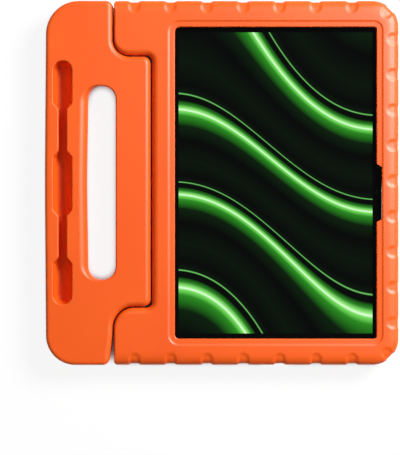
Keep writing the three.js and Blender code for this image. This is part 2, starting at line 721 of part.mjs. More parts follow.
// One finger opening of the stylus holder, with a round bottom and a mouth that is softened
function stylusOpening({ top, bottom, closed }) {
  const wide = STYLUS_OPENING / 2;
  const narrow = STYLUS_NECK / 2;
  const round = wide * ROUND_END;
  const soft = 2.5;
  const lowerEnd =
    closed === "bottom"
      ? [
          [stylusX - wide, bottom, round],
          [stylusX + wide, bottom, round],
        ]
      : [
          [stylusX - wide, bottom + STYLUS_TAPER, soft],
          [stylusX - narrow, bottom, soft / 2],
          [stylusX + narrow, bottom, soft / 2],
          [stylusX + wide, bottom + STYLUS_TAPER, soft],
        ];
  const upperEnd =
    closed === "top"
      ? [
          [stylusX + wide, top, round],
          [stylusX - wide, top, round],
        ]
      : [
          [stylusX + wide, top - STYLUS_TAPER, soft],
          [stylusX + narrow, top, soft / 2],
          [stylusX - narrow, top, soft / 2],
          [stylusX - wide, top - STYLUS_TAPER, soft],
        ];
  const corners = [...lowerEnd, ...upperEnd];
  const bottomZ = frontZ - STYLUS_DEPTH;
  const bowl = { reach: wide * 0.58, depth: wide };
  const levels = [
    ...turnLevels(bottomZ, bowl.depth, 4),
    ...turnLevels(frontZ, -STYLUS_MOUTH.depth, 3).reverse(),
    frontZ + OVERRUN,
  ];
  const none = { reach: 0, depth: 1 };
  return loft(corners, levels, (z) => {
    const drawnIn = edgeInset(z, bottomZ, frontZ, bowl, none);
    const opened = edgeInset(Math.min(z, frontZ), bottomZ, frontZ, none, STYLUS_MOUTH);
    return corners.map(() => drawnIn - opened);
  });
}

function stylusCuts() {
  const first = STYLUS_OPENINGS[0];
  const last = STYLUS_OPENINGS.at(-1);
  const radius = STYLUS_CHANNEL / 2;
  const channelZ = frontZ - STYLUS_DEPTH + radius;
  const high = first.top - STYLUS_OPENING / 2;
  const low = last.bottom + STYLUS_OPENING / 2;
  const neck = rectangle(stylusX - STYLUS_NECK / 2, low, stylusX + STYLUS_NECK / 2, high, 0);
  const mouth = STYLUS_MOUTH;
  const levels = [channelZ, ...turnLevels(frontZ, -mouth.depth, 3).reverse(), frontZ + OVERRUN];
  const none = { reach: 0, depth: 1 };
  const slit = loft(neck, levels, (z) => {
    const opened = edgeInset(Math.min(z, frontZ), channelZ, frontZ, none, mouth);
    return [0, -opened, 0, -opened];
  });
  return [...STYLUS_OPENINGS.map(stylusOpening), barAlongY(stylusX, channelZ, radius, low, high, 20), slit];
}

function handle() {
  const levels = levelsBetween(handleBack, frontZ, FRONT_EDGE.depth, FRONT_EDGE.depth, 4);
  const body = loft(handleCorners, levels, (z) => handleEdges.map((edge) => handleInset(edge, z)));
  const bore = bushRadius + FIT_GAP;
  const cuts = [
    gripCut(),
    ...stylusCuts(),
    barAlongY(axisX, HINGE_Z, bore, tongueTopY - PIN_IN_TONGUE - FIT_GAP, tongueTopY + OVERRUN),
    barAlongY(axisX, HINGE_Z, bore, tongueBottomY - OVERRUN, tongueBottomY + PIN_IN_TONGUE + FIT_GAP),
  ];
  return geometryOf(solidOf(body).subtract(joined(cuts)));
}

// Pin that is fixed in a lug and turns in the tongue; `seamY` is the tongue's end, and `up` is 1
// at the top and -1 at the bottom.
function hingePin(seamY, up) {
  const inTongue = seamY - up * (PIN_IN_TONGUE - FIT_GAP);
  const inLug = seamY + up * (SEAM_GAP + PIN_IN_LUG);
  return barAlongY(axisX, HINGE_Z, PIN_RADIUS, Math.min(inTongue, inLug), Math.max(inTongue, inLug));
}

// Plain bush in the tongue, with the pin through it
function handleBush(seamY, up) {
  const inner = up * -PIN_IN_TONGUE;
  const outer = up * -FIT_GAP;
  const low = Math.min(inner, outer);
  const high = Math.max(inner, outer);
  const profile = [
    new THREE.Vector2(bushBore, low),
    new THREE.Vector2(bushRadius, low),
    new THREE.Vector2(bushRadius, high),
    new THREE.Vector2(bushBore, high),
    new THREE.Vector2(bushBore, low),
  ];
  return new THREE.LatheGeometry(profile, 24).translate(axisX, seamY, HINGE_Z);
}

// Outline of the tablet, drawn in by a distance
function tabletOutline(inset) {
  const x = TABLET_WIDTH / 2 - inset;
  const y = TABLET_HEIGHT / 2 - inset;
  return rectangle(-x, -y, x, y, TABLET_CORNER - inset);
}

function speakerPlaces() {
  const y = cavityY - FIT_GAP - SPEAKER.height / 2;
  const topX = lensX - LENS_MODULE.width / 2 - SPEAKER.fromLens - SPEAKER.width / 2;
  return [
    ["speaker_bottom_left", -SOUND_HOLE.offset, -y],
    ["speaker_bottom_right", SOUND_HOLE.offset, -y],
    ["speaker_top_left", -topX, y],
    ["speaker_top_right", topX, y],
  ];
}

function tabletHousing() {
  const edge = { reach: TABLET_BACK_EDGE, depth: TABLET_BACK_EDGE };
  const none = { reach: 0, depth: 1 };
  const corners = tabletOutline(0);
  const levels = [...turnLevels(tabletBottom, edge.depth, 3), tabletTop];
  const drawnIn = (z) => edgeInset(z, tabletBottom, tabletTop, edge, none);
  const body = loft(corners, levels, (z) => corners.map(() => drawnIn(z)));
  const seat = block(tabletOutline(GLASS_FRAME), glassBottom - FIT_GAP, tabletTop + OVERRUN);
  const cavity = block(tabletOutline(HOUSING_WALL), cavityFloor, tabletTop);
  const right = TABLET_WIDTH / 2;
  const bottom = -TABLET_HEIGHT / 2;
  const cuts = [seat, cavity];
  for (const { length, fromTop } of BUTTONS) {
    const y = halfHeight - fromTop;
    const half = length / 2 + FIT_GAP;
    const tall = BUTTON_HEIGHT / 2 + FIT_GAP;
    cuts.push(box(cavityX - 0.1, y - half, tabletMid - tall, right + 1, y + half, tabletMid + tall));
  }
  const usbHalf = USB.width / 2 + FIT_GAP;
  const usbTall = USB.height / 2 + FIT_GAP;
  cuts.push(box(-usbHalf, bottom - 1, usbZ - usbTall, usbHalf, -cavityY + 0.1, usbZ + usbTall));
  for (const [, x, y] of speakerPlaces()) {
    const wall = Math.sign(y) * (cavityY + HOUSING_WALL / 2);
    const { length, height, pitch, count } = SPEAKER_SLIT;
    for (let i = 0; i < count; i++) {
      const at = x + (i - (count - 1) / 2) * pitch;
      const slit = new THREE.BoxGeometry(length, 2 * HOUSING_WALL, height);
      cuts.push(slit.translate(at, wall, tabletMid));
    }
  }
  const strip = CHARGE_STRIP;
  const low = chargeY - strip.length / 2 - FIT_GAP;
  const high = chargeY + strip.length / 2 + FIT_GAP;
  const tall = strip.height / 2 + FIT_GAP;
  const depth = right - strip.thickness - FIT_GAP;
  cuts.push(box(depth, low, tabletMid - tall, right + 1, high, tabletMid + tall));
  return geometryOf(solidOf(body).subtract(joined(cuts)));
}

const usbZ = innerFloor + USB.height / 2;
const chargeY = halfHeight - STYLUS_SLOT.fromTop - STYLUS_SLOT.length / 2;

function usbReceptacle() {
  const half = USB.width / 2;
  const tall = USB.height / 2;
  const outer = rectangle(-half, -tall, half, tall, tall * ROUND_END);
  const inner = rectangle(-half + USB.wall, -tall + USB.wall, half - USB.wall, tall - USB.wall, tall * 0.7);
  const blade = USB.blade / 2;
  const shell = solidOf(block(outer, 0, USB.depth)).subtract(solidOf(block(inner, USB.wall, USB.depth + 1)));
  const tongue = solidOf(box(-USB.bladeWidth / 2, -blade, 0.1, USB.bladeWidth / 2, blade, USB.depth - 1));
  const front = -TABLET_HEIGHT / 2 + FIT_GAP;
  return geometryOf(shell.add(tongue)).rotateX(Math.PI / 2).translate(0, front + USB.depth, usbZ);
}

// Key with a flange behind the housing wall, so that it can't fall out
function button({ length, fromTop }) {
  const long = length / 2;
  const tall = BUTTON_HEIGHT / 2;
  const key = rectangle(-tall, -long, tall, long, tall * ROUND_END);
  const { extra, thickness } = BUTTON_FLANGE;
  const flange = rectangle(-tall - extra / 2, -long - extra, tall + extra / 2, long + extra, tall);
  const back = cavityX - FIT_GAP - thickness;
  const face = TABLET_WIDTH / 2 + BUTTON_PROUD;
  const solid = joined([block(flange, back, back + thickness), block(key, back, face)]);
  return geometryOf(solid).rotateY(Math.PI / 2).translate(0, halfHeight - fromTop, tabletMid);
}

function switchStrip() {
  const right = cavityX - FIT_GAP - BUTTON_FLANGE.thickness - BUTTON_TRAVEL - FIT_GAP;
  const { pastKeys, thickness, height } = SWITCH_STRIP;
  const low = keysBottom - pastKeys;
  const high = keysTop + pastKeys;
  return box(right - thickness, low, innerFloor, right, high, innerFloor + height);
}

function chargeStrip() {
  const right = TABLET_WIDTH / 2;
  const { length, height, thickness } = CHARGE_STRIP;
  const corners = rectangle(-height / 2, -length / 2, height / 2, length / 2, (height / 2) * ROUND_END);
  return block(corners, right - thickness, right).rotateY(Math.PI / 2).translate(0, chargeY, tabletMid);
}

function coverGlass() {
  const corners = tabletOutline(GLASS_FRAME + FIT_GAP);
  return block(corners, glassBottom, tabletTop);
}

function displayPanel() {
  const top = glassBottom - FIT_GAP;
  const x = TABLET_WIDTH / 2 - DISPLAY_BORDER_SIDE;
  const y = TABLET_HEIGHT / 2 - DISPLAY_BORDER_END;
  return box(-x, -y, top - DISPLAY_THICKNESS, x, y, top);
}

function batteryCell(side) {
  const near = CELL_SPACING / 2;
  const far = cavityX - CELL_MARGIN;
  const left = side < 0 ? -far : near;
  const right = side < 0 ? -near : far;
  const corners = rectangle(left, CELL_FROM_BOTTOM - cavityY, right, cavityY - CELL_FROM_TOP, CELL_CORNER);
  return block(corners, innerFloor, innerFloor + CELL_THICKNESS);
}

function logicBoard() {
  const left = -cavityX + CELL_MARGIN;
  const right = lensX - LENS_MODULE.width / 2 - BOARD_FROM_LENS;
  const low = cavityY - CELL_FROM_TOP + BOARD_FROM_CELLS;
  return box(left, low, innerFloor, right, low + BOARD_HEIGHT, innerFloor + BOARD_THICKNESS);
}

// Lens plate on the tablet's back, inside the foam's opening
const plateTop = tabletBottom - FIT_GAP;
const plateBottom = plateTop - REAR_PLATE_THICKNESS;

function lensPlate() {
  return loft(lensCorners, [plateBottom, plateBottom + 0.3, plateTop], (z) =>
    lensCorners.map(() => (z === plateBottom ? POCKET_GAP + 0.3 : POCKET_GAP)),
  );
}

function rearLens() {
  const y = lensTop - REAR_LENS.fromTop;
  const top = plateBottom - FIT_GAP;
  return post(lensX, y, REAR_LENS.radius, top - REAR_LENS.thickness, top, 32);
}

function rearSensor() {
  const y = lensTop - REAR_LENS.fromTop - REAR_SENSOR.fromLens;
  const top = plateBottom - FIT_GAP;
  return post(lensX, y, REAR_SENSOR.radius, top - REAR_SENSOR.thickness, top, 28);
}

function lensModule() {
  const { width, height, thickness } = LENS_MODULE;
  return box(
    lensX - width / 2,
    lensY - height / 2,
    innerFloor,
    lensX + width / 2,
    lensY + height / 2,
    innerFloor + thickness,
  );
}

function frontCamera() {
  const { radius, height, fromEdge, y } = FRONT_CAMERA;
  const top = glassBottom - FIT_GAP;
  return post(TABLET_WIDTH / 2 - fromEdge, y, radius, top - height, top, 16);
}

function speaker(x, y) {
  const { width, height, thickness } = SPEAKER;
  const corners = rectangle(x - width / 2, y - height / 2, x + width / 2, y + height / 2, SPEAKER.corner);
  return block(corners, innerFloor, innerFloor + thickness);
}

const tabletCase = new THREE.Group();
tabletCase.position.x = -(bodyRight + handleLeft) / 2;

function place(name, geometry, material) {
  const mesh = new THREE.Mesh(geometry, material);
  mesh.name = name;
  tabletCase.add(mesh);
}

place("case_shell", caseShell(), foam);
place("handle", handle(), foam);
place("hinge_pin_top", hingePin(tongueTopY, 1), steel);
place("hinge_pin_bottom", hingePin(tongueBottomY, -1), steel);
place("handle_bush_top", handleBush(tongueTopY, 1), nylon);
place("handle_bush_bottom", handleBush(tongueBottomY, -1), nylon);
place("tablet_housing", tabletHousing(), darkMetal);
place("cover_glass", coverGlass(), glass);
place("display_panel", displayPanel(), screen);
place("battery_cell_left", batteryCell(-1), cellFoil);
place("battery_cell_right", batteryCell(1), cellFoil);
place("logic_board", logicBoard(), circuit);
place("rear_lens_plate", lensPlate(), greyMetal);
place("rear_lens", rearLens(), glass);
place("rear_sensor", rearSensor(), glass);
place("rear_lens_module", lensModule(), blackPlastic);
place("front_camera", frontCamera(), blackPlastic);
for (const key of BUTTONS) place(key.name, button(key), darkMetal);
place("switch_strip", switchStrip(), circuit);
place("stylus_charge_strip", chargeStrip(), blackPlastic);
place("usb_receptacle", usbReceptacle(), steel);
for (const [name, x, y] of speakerPlaces()) place(name, speaker(x, y), blackPlastic);

export default tabletCase;
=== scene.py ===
# %% [markdown]
# # A foam tablet case for children
#
# The object is a thick foam case with a carrying handle, and a slab tablet inside it. It lies on its back.
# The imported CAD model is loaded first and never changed: it says where every piece is and how it moves.
# This script then makes the surfaces that the eye sees, at the same places and sizes, and gives every piece
# its finish. Lengths are millimetres here, and become metres when a mesh is made.

import json
import math

import bpy
import numpy as np
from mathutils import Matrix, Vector


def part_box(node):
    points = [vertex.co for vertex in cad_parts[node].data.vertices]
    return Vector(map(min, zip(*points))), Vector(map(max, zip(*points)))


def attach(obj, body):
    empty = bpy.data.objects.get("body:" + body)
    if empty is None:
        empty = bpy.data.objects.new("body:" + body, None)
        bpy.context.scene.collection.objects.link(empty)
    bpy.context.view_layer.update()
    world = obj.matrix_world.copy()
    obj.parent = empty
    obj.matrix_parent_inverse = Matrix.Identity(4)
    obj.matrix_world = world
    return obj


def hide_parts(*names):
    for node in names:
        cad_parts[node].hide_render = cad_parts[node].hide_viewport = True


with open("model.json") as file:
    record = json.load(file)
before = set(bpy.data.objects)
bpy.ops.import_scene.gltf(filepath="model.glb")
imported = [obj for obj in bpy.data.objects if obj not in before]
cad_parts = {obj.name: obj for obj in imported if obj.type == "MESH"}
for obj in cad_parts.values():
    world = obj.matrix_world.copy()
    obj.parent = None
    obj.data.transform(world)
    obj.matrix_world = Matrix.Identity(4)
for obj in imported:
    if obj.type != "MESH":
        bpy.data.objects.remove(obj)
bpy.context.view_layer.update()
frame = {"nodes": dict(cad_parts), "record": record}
MM = 0.001


def span(node):
    """Lowest and highest corner of a CAD node, in millimetres."""
    low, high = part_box(node)
    return np.array(low) / MM, np.array(high) / MM


shell_low, shell_high = span("case_shell")
handle_low, handle_high = span("handle")
tablet_low, tablet_high = span("tablet_housing")
hinge = next(j for j in frame["record"]["behaviour"]["joints"] if j["name"] == "handle_hinge")
hinge_x, _, hinge_z = np.array(hinge["pos_m"]) / MM
print("case", shell_high - shell_low, "handle", handle_high - handle_low)

# %% [markdown]
# ## Outlines with round corners
#
# Both foam pieces were moulded as thick plates, so each is an outline that changes a little with height. The
# outline could be drawn as a curve and extruded, but a bevel on a curve is the same all round, and this case
# has soft outer edges beside tight ones along the seam. So the outline is worked out afresh at each height,
# with an inset of its own for each edge.


# %% Outlines
def outline(corners, insets, spacing):
    """Closed outline with round corners: its points, and the direction out of the shape at each of them.

    corners are (x, y, radius), anticlockwise. Edge i leaves corner i, is moved inwards by insets[i], and
    meets its neighbours again. The outward direction turns evenly through a corner, and the arc's point is
    centre + side * radius * direction, where side is 1 on an outer corner and -1 on an inner one. Straight
    stretches are divided evenly into steps of about spacing[i].
    """
    corners = np.asarray(corners, float)
    insets = np.asarray(insets, float)
    place, radius = corners[:, :2], corners[:, 2]
    ahead = np.roll(place, -1, axis=0) - place
    length = np.linalg.norm(ahead, axis=1)
    ahead = ahead / length[:, None]
    behind = np.roll(ahead, 1, axis=0)
    before = np.roll(insets, 1)
    sine = behind[:, 0] * ahead[:, 1] - behind[:, 1] * ahead[:, 0]
    cosine = (behind * ahead).sum(axis=1)
    turn = np.arctan2(sine, cosine)
    side = np.sign(turn)
    inward = np.stack([-behind[:, 1], behind[:, 0]], axis=1)
    slide = (insets - before * cosine) / sine
    corner = place + inward * before[:, None] - behind * slide[:, None]
    bend = np.maximum(radius - side * (insets + before) / 2, 0.05)
    out_before = -inward
    out_after = np.stack([ahead[:, 1], -ahead[:, 0]], axis=1)
    centre = corner - (side * bend / (1 + cosine))[:, None] * (out_before + out_after)
    tangent = radius * np.tan(np.abs(turn) / 2)
    straight = length - tangent - np.roll(tangent, -1)
    arcs, ways = [], []
    for i in range(len(corners)):
        steps = max(3, math.ceil(abs(turn[i]) * min(radius[i], 60) / 1.1))
        angle = np.linspace(0, turn[i], steps + 1)[:, None]
        out = out_before[i] * np.cos(angle) + out_before[i][::-1] * np.array([-1, 1]) * np.sin(angle)
        arcs.append(centre[i] + side[i] * bend[i] * out)
        ways.append(out)
    points, outward = [], []
    for i in range(len(corners)):
        after = (i + 1) % len(corners)
        count = max(1, round(straight[i] / spacing[i]))
        share = np.linspace(0, 1, count + 1)[1:-1, None]
        points += [arcs[i], arcs[i][-1] * (1 - share) + arcs[after][0] * share]
        outward += [ways[i], np.repeat(out_after[i][None], count - 1, axis=0)]
    return np.concatenate(points), np.concatenate(outward)


def skin(name, rings):
    """Closed mesh: quads between neighbouring rings of points, and a flat face over the first and last ring.

    rings is an array (rings, points, 3) in millimetres. Each ring runs anticlockwise as seen from the last.
    """
    rings = np.asarray(rings, float)
    levels, count = rings.shape[:2]
    row = np.arange(levels - 1)[:, None] * count
    here = np.arange(count)[None]
    beside = (here + 1) % count
    quads = np.stack([row + here, row + beside, row + count + beside, row + count + here], axis=-1)
    caps = [list(range(count))[::-1], list(range((levels - 1) * count, levels * count))]
    mesh = bpy.data.meshes.new(name)
    mesh.from_pydata((rings.reshape(-1, 3) * MM).tolist(), [], quads.reshape(-1, 4).tolist() + caps)
    piece = bpy.data.objects.new(name, mesh)
    bpy.context.scene.collection.objects.link(piece)
    return piece


def stack(name, corners, levels, insets, spacing=6.0):
    """Solid through one outline per height: insets(z) gives the inset of each edge at that height."""
    spacings = [spacing] * len(corners)
    rings = []
    for z in levels:
        points, _ = outline(corners, insets(z), spacings)
        rings.append(np.column_stack([points, np.full(len(points), z)]))
    return skin(name, rings)


def box_corners(left, bottom, right, top, radius):
    """The four corners of a rectangle, anticlockwise."""
    return [(left, bottom, radius), (right, bottom, radius), (right, top, radius), (left, top, radius)]


def rounded(z, low, high, back, front):
    """Inset of an edge that is rounded at both faces.

    Each rounding is a quarter of an ellipse, (reach, depth): the inset is reach * (1 - sqrt(1 - t * t)), and
    t runs from 0 where the rounding starts to 1 at the face.
    """
    inset = 0.0
    for (reach, depth), to_face in ((front, high - z), (back, z - low)):
        t = min(max((depth - to_face) / depth, 0.0), 1.0)
        inset += reach * (1 - math.sqrt(1 - t * t))
    return inset


# %% [markdown]
# ## Cutting
#
# The window, slots and holes are cut out of the foam with Blender's Boolean modifier. A cutter is a solid
# made in the same way as the foam, but it widens towards the face, so the cut leaves a rounded rim. That is
# how a mould leaves it, and a bevel on the finished cut would trip over its many short edges.


# %% Cutting and shading
def settle(piece):
    """Keeps the shape that the modifiers make, and drops them."""
    graph = bpy.context.evaluated_depsgraph_get()
    made = bpy.data.meshes.new_from_object(piece.evaluated_get(graph))
    made.name = piece.name
    piece.modifiers.clear()
    piece.data = made


def carve(piece, cutters, operation="DIFFERENCE"):
    """Takes each cutter's solid out of the piece, or keeps only what lies inside it."""
    for cutter in cutters:
        cut = piece.modifiers.new(cutter.name, "BOOLEAN")
        cut.operation = operation
        cut.solver = "MANIFOLD"
        cut.object = cutter
    settle(piece)
    for cutter in cutters:
        bpy.data.objects.remove(cutter)
    return piece


def shade(piece, crease=38):
    """Smooth shading that breaks at edges sharper than the crease, with flat faces kept flat."""
    piece.data.polygons.foreach_set("use_smooth", np.ones(len(piece.data.polygons), bool))
    piece.data.set_sharp_from_angle(angle=math.radians(crease))
    even = piece.modifiers.new("even", "WEIGHTED_NORMAL")
    even.keep_sharp = True
    even.weight = 90
    settle(piece)
    return piece


def bar(name, x, z, radius, low, high, sides=40):
    """Round bar along Y: two circles (x + r sin a, z + r cos a), joined."""
    angle = np.linspace(0, 2 * math.pi, sides, endpoint=False)
    circle = [x + radius * np.sin(angle), np.zeros(sides), z + radius * np.cos(angle)]
    return skin(name, [np.column_stack(circle) + [0, y, 0] for y in (low, high)])


def turned(name, x, y, profile, sides=64):
    """Piece turned about an upright axis: one circle for each (radius, z) of the profile."""
    angle = np.linspace(0, 2 * math.pi, sides, endpoint=False)
    circle = np.column_stack([np.cos(angle), np.sin(angle)])
    rings = [np.column_stack([circle * r + [x, y], np.full(sides, z)]) for r, z in profile]
    return skin(name, rings)


# %% [markdown]
# ## Where things are
#
# The CAD model's boxes give the outer sizes. The rest are the sizes of the moulding: how soft its edges are,
# how wide its seam is, and where the grips and openings sit. Measured or chosen sizes are in capitals, and
# what follows from them is in small letters. An edge is (reach, depth): how far its rounding goes in from
# the wall, and how far down from the face.

# %% Sizes
PAD_HEIGHT = 0.8
SEAM, SHOULDER_GAP = 1.1, 1.0
LUG_LENGTH = {"top": 42.6, "bottom": 44.8}
LUG_CORNER = {"top": 12.0, "bottom": 15.5}
POCKET_ROOM, GLASS_ROOM = 0.4, 0.3
BACK_EDGE, SEAM_EDGE, RECESS_EDGE, TONGUE_EDGE = (9.0, 9.0), (1.6, 1.8), (5.0, 4.5), (4.0, 4.0)
SHARP = (0, 1)
UP = {"top": 1, "bottom": -1}
# How far a cutter reaches past the face that it cuts
PAST = 1.5

back_z, front_z = PAD_HEIGHT, shell_high[2]
right, top, bottom = shell_high[0], shell_high[1], shell_low[1]
lug_x = shell_low[0]
handle_left, knuckle_x = handle_low[0], handle_high[0]
handle_back = handle_low[2]
recess_x = knuckle_x + SEAM
shoulder_x = lug_x - SHOULDER_GAP
lug_y = {"top": top - LUG_LENGTH["top"], "bottom": bottom + LUG_LENGTH["bottom"]}
tongue_y = {end: y - UP[end] * SEAM for end, y in lug_y.items()}
tablet_x = (tablet_low[0] + tablet_high[0]) / 2
tablet_half = (tablet_high - tablet_low) / 2
tablet_middle_z = (tablet_low[2] + tablet_high[2]) / 2
pocket_half = tablet_half[:2] + POCKET_ROOM
pocket_floor, lip_under = tablet_low[2] - GLASS_ROOM, tablet_high[2] + GLASS_ROOM
print("tablet", tablet_half * 2, "seam", SEAM)

# %% [markdown]
# ## The foam body
#
# On the real case this is one moulding: a thick frame round the tablet, with grip hollows all round the rim
# and two lugs that carry the handle. The hollows could be cut like the window, but each one follows the rim
# from the face round to the back. So the surface is made as a fine grid round the rim, and each point is
# pushed in along the surface's own normal by a depth that depends on where it lies.

# %% The body's outline and its grip hollows
RIM_CORNER, LUG_END, RECESS_CORNER = 20.5, 2.5, 5
# Radius of the lugs' ends about the hinge axis
LUG_RADIUS = 14.7
CROWN, CROWN_POWER, BACK_FLAT = (11.5, 7.5), 3, 15.5
HOLLOW_WIDTH, HOLLOW_SIDE, HOLLOW_POWER = 9.2, 3.0, 2.8
FACE_REACH, BACK_REACH = 9.5, 14.5
FACE_DEPTH, WALL_DEPTH, SIDE_DEPTH, CORNER_DEPTH = 0.75, 1.1, 0.35, 0.95
# First hollow's distance from the right side, and the shift of the row down the side from the middle
ROW_START, ROW_PITCH = 36.5, 28.4
SIDE_SHIFT, SIDE_PITCH = 1.6, 27.76

body_corners = [
    (lug_x, bottom, LUG_END),
    (right, bottom, RIM_CORNER),
    (right, top, RIM_CORNER),
    (lug_x, top, LUG_END),
    (lug_x, lug_y["top"], LUG_CORNER["top"]),
    (recess_x, lug_y["top"], RECESS_CORNER),
    (recess_x, lug_y["bottom"], RECESS_CORNER),
    (lug_x, lug_y["bottom"], LUG_CORNER["bottom"]),
]
body_edges = ["outer", "outer", "outer", "lug", "seam", "seam", "seam", "lug"]
body_spacing = [0.9, 0.9, 0.9, 5, 5, 6, 5, 5]
hollow_x = right - ROW_START - ROW_PITCH * np.arange(7)
hollow_y = SIDE_SHIFT + SIDE_PITCH * np.arange(-4, 5)
print(len(hollow_x), "hollows along the top and bottom,", len(hollow_y), "down the side")


def hollows():
    """Middle on the rim, inward direction and depth of each grip hollow."""
    diagonal = math.sqrt(0.5)
    corner = RIM_CORNER * (1 - diagonal)
    places = [(x, top, 0, -1, WALL_DEPTH) for x in hollow_x]
    places += [(x, bottom, 0, 1, WALL_DEPTH) for x in hollow_x]
    places += [(right, y, -1, 0, SIDE_DEPTH) for y in hollow_y]
    for sign in (1, -1):
        rim = (right - corner, sign * (top - corner))
        places.append((*rim, -diagonal, -sign * diagonal, CORNER_DEPTH))
    return np.array(places)


def ease(t):
    """Smooth step from 0 to 1: t * t * (3 - 2 t), held outside."""
    t = np.clip(t, 0, 1)
    return t * t * (3 - 2 * t)


def dents(points, z, out, up):
    """How deep the foam is pressed in along its normal (out, up) at each point of a ring at height z.

    With t from 0 at a hollow's edge to 1 where its side ends, the depth goes as 1 - (1 - t)^HOLLOW_POWER, so
    that the edge is crisp and the side turns softly into the bottom. The greatest depth turns from that of
    the face to that of the wall as the normal does, and on the back it thins out inwards.
    """
    x, y, way_x, way_y, wall_depth = hollows().T
    along = (points[:, 0, None] - x) * way_x + (points[:, 1, None] - y) * way_y
    across = (points[:, 0, None] - x) * way_y - (points[:, 1, None] - y) * way_x
    face = z > (back_z + front_z) / 2
    reach = FACE_REACH if face else BACK_REACH
    half = HOLLOW_WIDTH / 2
    edge = half - np.hypot(across, np.maximum(0, along - (reach - half)))
    scoop = 1 - (1 - np.clip(edge / HOLLOW_SIDE, 0, 1)) ** HOLLOW_POWER
    depth = FACE_DEPTH * up**2 + wall_depth * out**2
    thin = 1 if face else 1 - ease(along / reach)
    return (scoop * depth * thin).max(axis=-1)


# %% The body's surface
def turn_over(edge, power, fine):
    """Rounding from upright wall to flat face, as a superellipse: (x / reach)^power + (z / depth)^power = 1.

    Returns the distance in from the wall, the height still missing to the face, and the normal's outward and
    upward share. Points are set by even turns of the normal, short of level where the tangent has no value,
    and by even steps along the flat part.
    """
    reach, depth = edge
    tilt = np.tan(np.linspace(0, math.pi / 2 - 0.02, fine)) * reach / depth
    flat = np.linspace(0, 0.9, 12)
    ratio = np.concatenate([tilt ** (1 / (power - 1)), flat / (1 - flat**power) ** (1 / power)])
    ratio = np.unique(ratio.round(4))[::-1]
    up_share = (1 + ratio**power) ** (-1 / power)
    out_share = ratio * up_share
    out, up = out_share ** (power - 1) / reach, up_share ** (power - 1) / depth
    size = np.hypot(out, up)
    shares = np.column_stack([reach * (1 - out_share), depth * (1 - up_share), out / size, up / size])
    return np.concatenate([[[0, depth, 1, 0]], shares]).T


FACE_RINGS, FACE_STEP = 7, 0.2


def rim_path(low, high, back, front, inner_back, power, fine=13):
    """Path of the rim's section from the back face round to the front face.

    Returns height, inset, the normal's outward and upward share, and the extra inset on a flat face. There
    each ring lies a small step inside the one before, so that no two fall together along the seam.
    """
    in_back, down_back, out_back, up_back = turn_over(back, 2, fine)[:, ::-1]
    in_front, down_front, out_front, up_front = turn_over(front, power, fine)
    flat = np.linspace(inner_back, back[0], FACE_RINGS + 1)[:-1]
    turning = np.zeros(len(in_back) + len(in_front))
    z = np.concatenate([np.full(FACE_RINGS, low), low + down_back, high - down_front, [high]])
    inset = np.concatenate([flat, in_back, in_front, [front[0] + FACE_STEP]])
    out = np.concatenate([np.zeros(FACE_RINGS), out_back, out_front, [0]])
    up = np.concatenate([-np.ones(FACE_RINGS), -up_back, up_front, [1]])
    onto = np.concatenate([np.arange(FACE_RINGS, 0, -1), turning, [1]]) * FACE_STEP
    return z, inset, out, up, onto


def below_axis(z, radius):
    """Inset of an end that is round about the hinge axis below the axis: radius - sqrt(radius^2 - drop^2)."""
    drop = max(0.0, hinge_z - z)
    return radius - math.sqrt(radius**2 - drop**2)


def rim_rings(corners, edges, spacing, path, inset_of, dent=None):
    """One ring for each point of the path, pushed in along the surface's normal where it is dented."""
    rings = []
    for z, inset, out, up, onto in zip(*path):
        insets = [inset if edge == "outer" else inset_of(edge, z) + onto for edge in edges]
        points, outward = outline(corners, insets, spacing)
        heights = np.full(len(points), z)
        if dent is not None:
            depth = dent(points, z, out, up)
            points = points - outward * (depth * out)[:, None]
            heights = heights - depth * up
        rings.append(np.column_stack([points, heights]))
    return rings


def body_inset(edge, z):
    """Inset of the body's edges along the seam at height z."""
    if edge == "lug":
        return below_axis(z, LUG_RADIUS) + rounded(z, back_z - SEAM_EDGE[1], front_z, SEAM_EDGE, SEAM_EDGE)
    return rounded(z, back_z, front_z, SEAM_EDGE, RECESS_EDGE)


body_path = rim_path(back_z, front_z, BACK_EDGE, CROWN, BACK_FLAT, CROWN_POWER)
body_rings = rim_rings(body_corners, body_edges, body_spacing, body_path, body_inset, dents)
case_foam = skin("case_foam", body_rings)
print("case_foam before cutting:", len(case_foam.data.vertices), "points")

# %% [markdown]
# ## Openings in the body
#
# The lip is the part that the eye rests on: a small step runs round the front, then an almost flat band leads
# to a rounded edge over the screen. The whole lip is one cutter whose outline widens step by step. Slots and
# holes come in from the back, so their cutters widen a little there.

# %% The window and the lip
WINDOW_INSET, WINDOW_RADII = (4.3, 5.0), (3.2, 2.2, 1.8, 4.0)
# Height and width of the step, fall and width of the band, and radius of the edge over the screen
STEP_HEIGHT, STEP_WIDTH, BAND_FALL, BAND_WIDTH, LIP_EDGE = 0.8, 1.9, 0.1, 3.8, 0.9
NOTCH_MIDDLE, NOTCH_HALF, NOTCH_SLANT, NOTCH_START, NOTCH_PAST = -7.9, 20.4, 3.6, 6, 0.1


def listed(levels, wide, share=(1, 1, 1, 1)):
    """Inset function for stack that looks a height up in a list of widenings, times each edge's share."""
    return lambda z: -np.array(share) * wide[np.argmin(abs(levels - z))]


def opening_steps():
    """Height and widening of the window, from under the lip to above the front face."""
    lip_top = front_z - STEP_HEIGHT
    edge_top = lip_top - BAND_FALL
    turn = np.linspace(0, math.pi / 2, 6)
    step = np.linspace(0, 1, 7)
    rise = lip_top + STEP_HEIGHT * (ease(step) + step) / 2
    z = [[lip_under - PAST], edge_top - LIP_EDGE * (1 - np.sin(turn)), rise, [front_z + PAST]]
    wide = [[0], LIP_EDGE * (1 - np.cos(turn)), BAND_WIDTH + STEP_WIDTH * step, [BAND_WIDTH + STEP_WIDTH]]
    return np.concatenate(z), np.concatenate(wide)


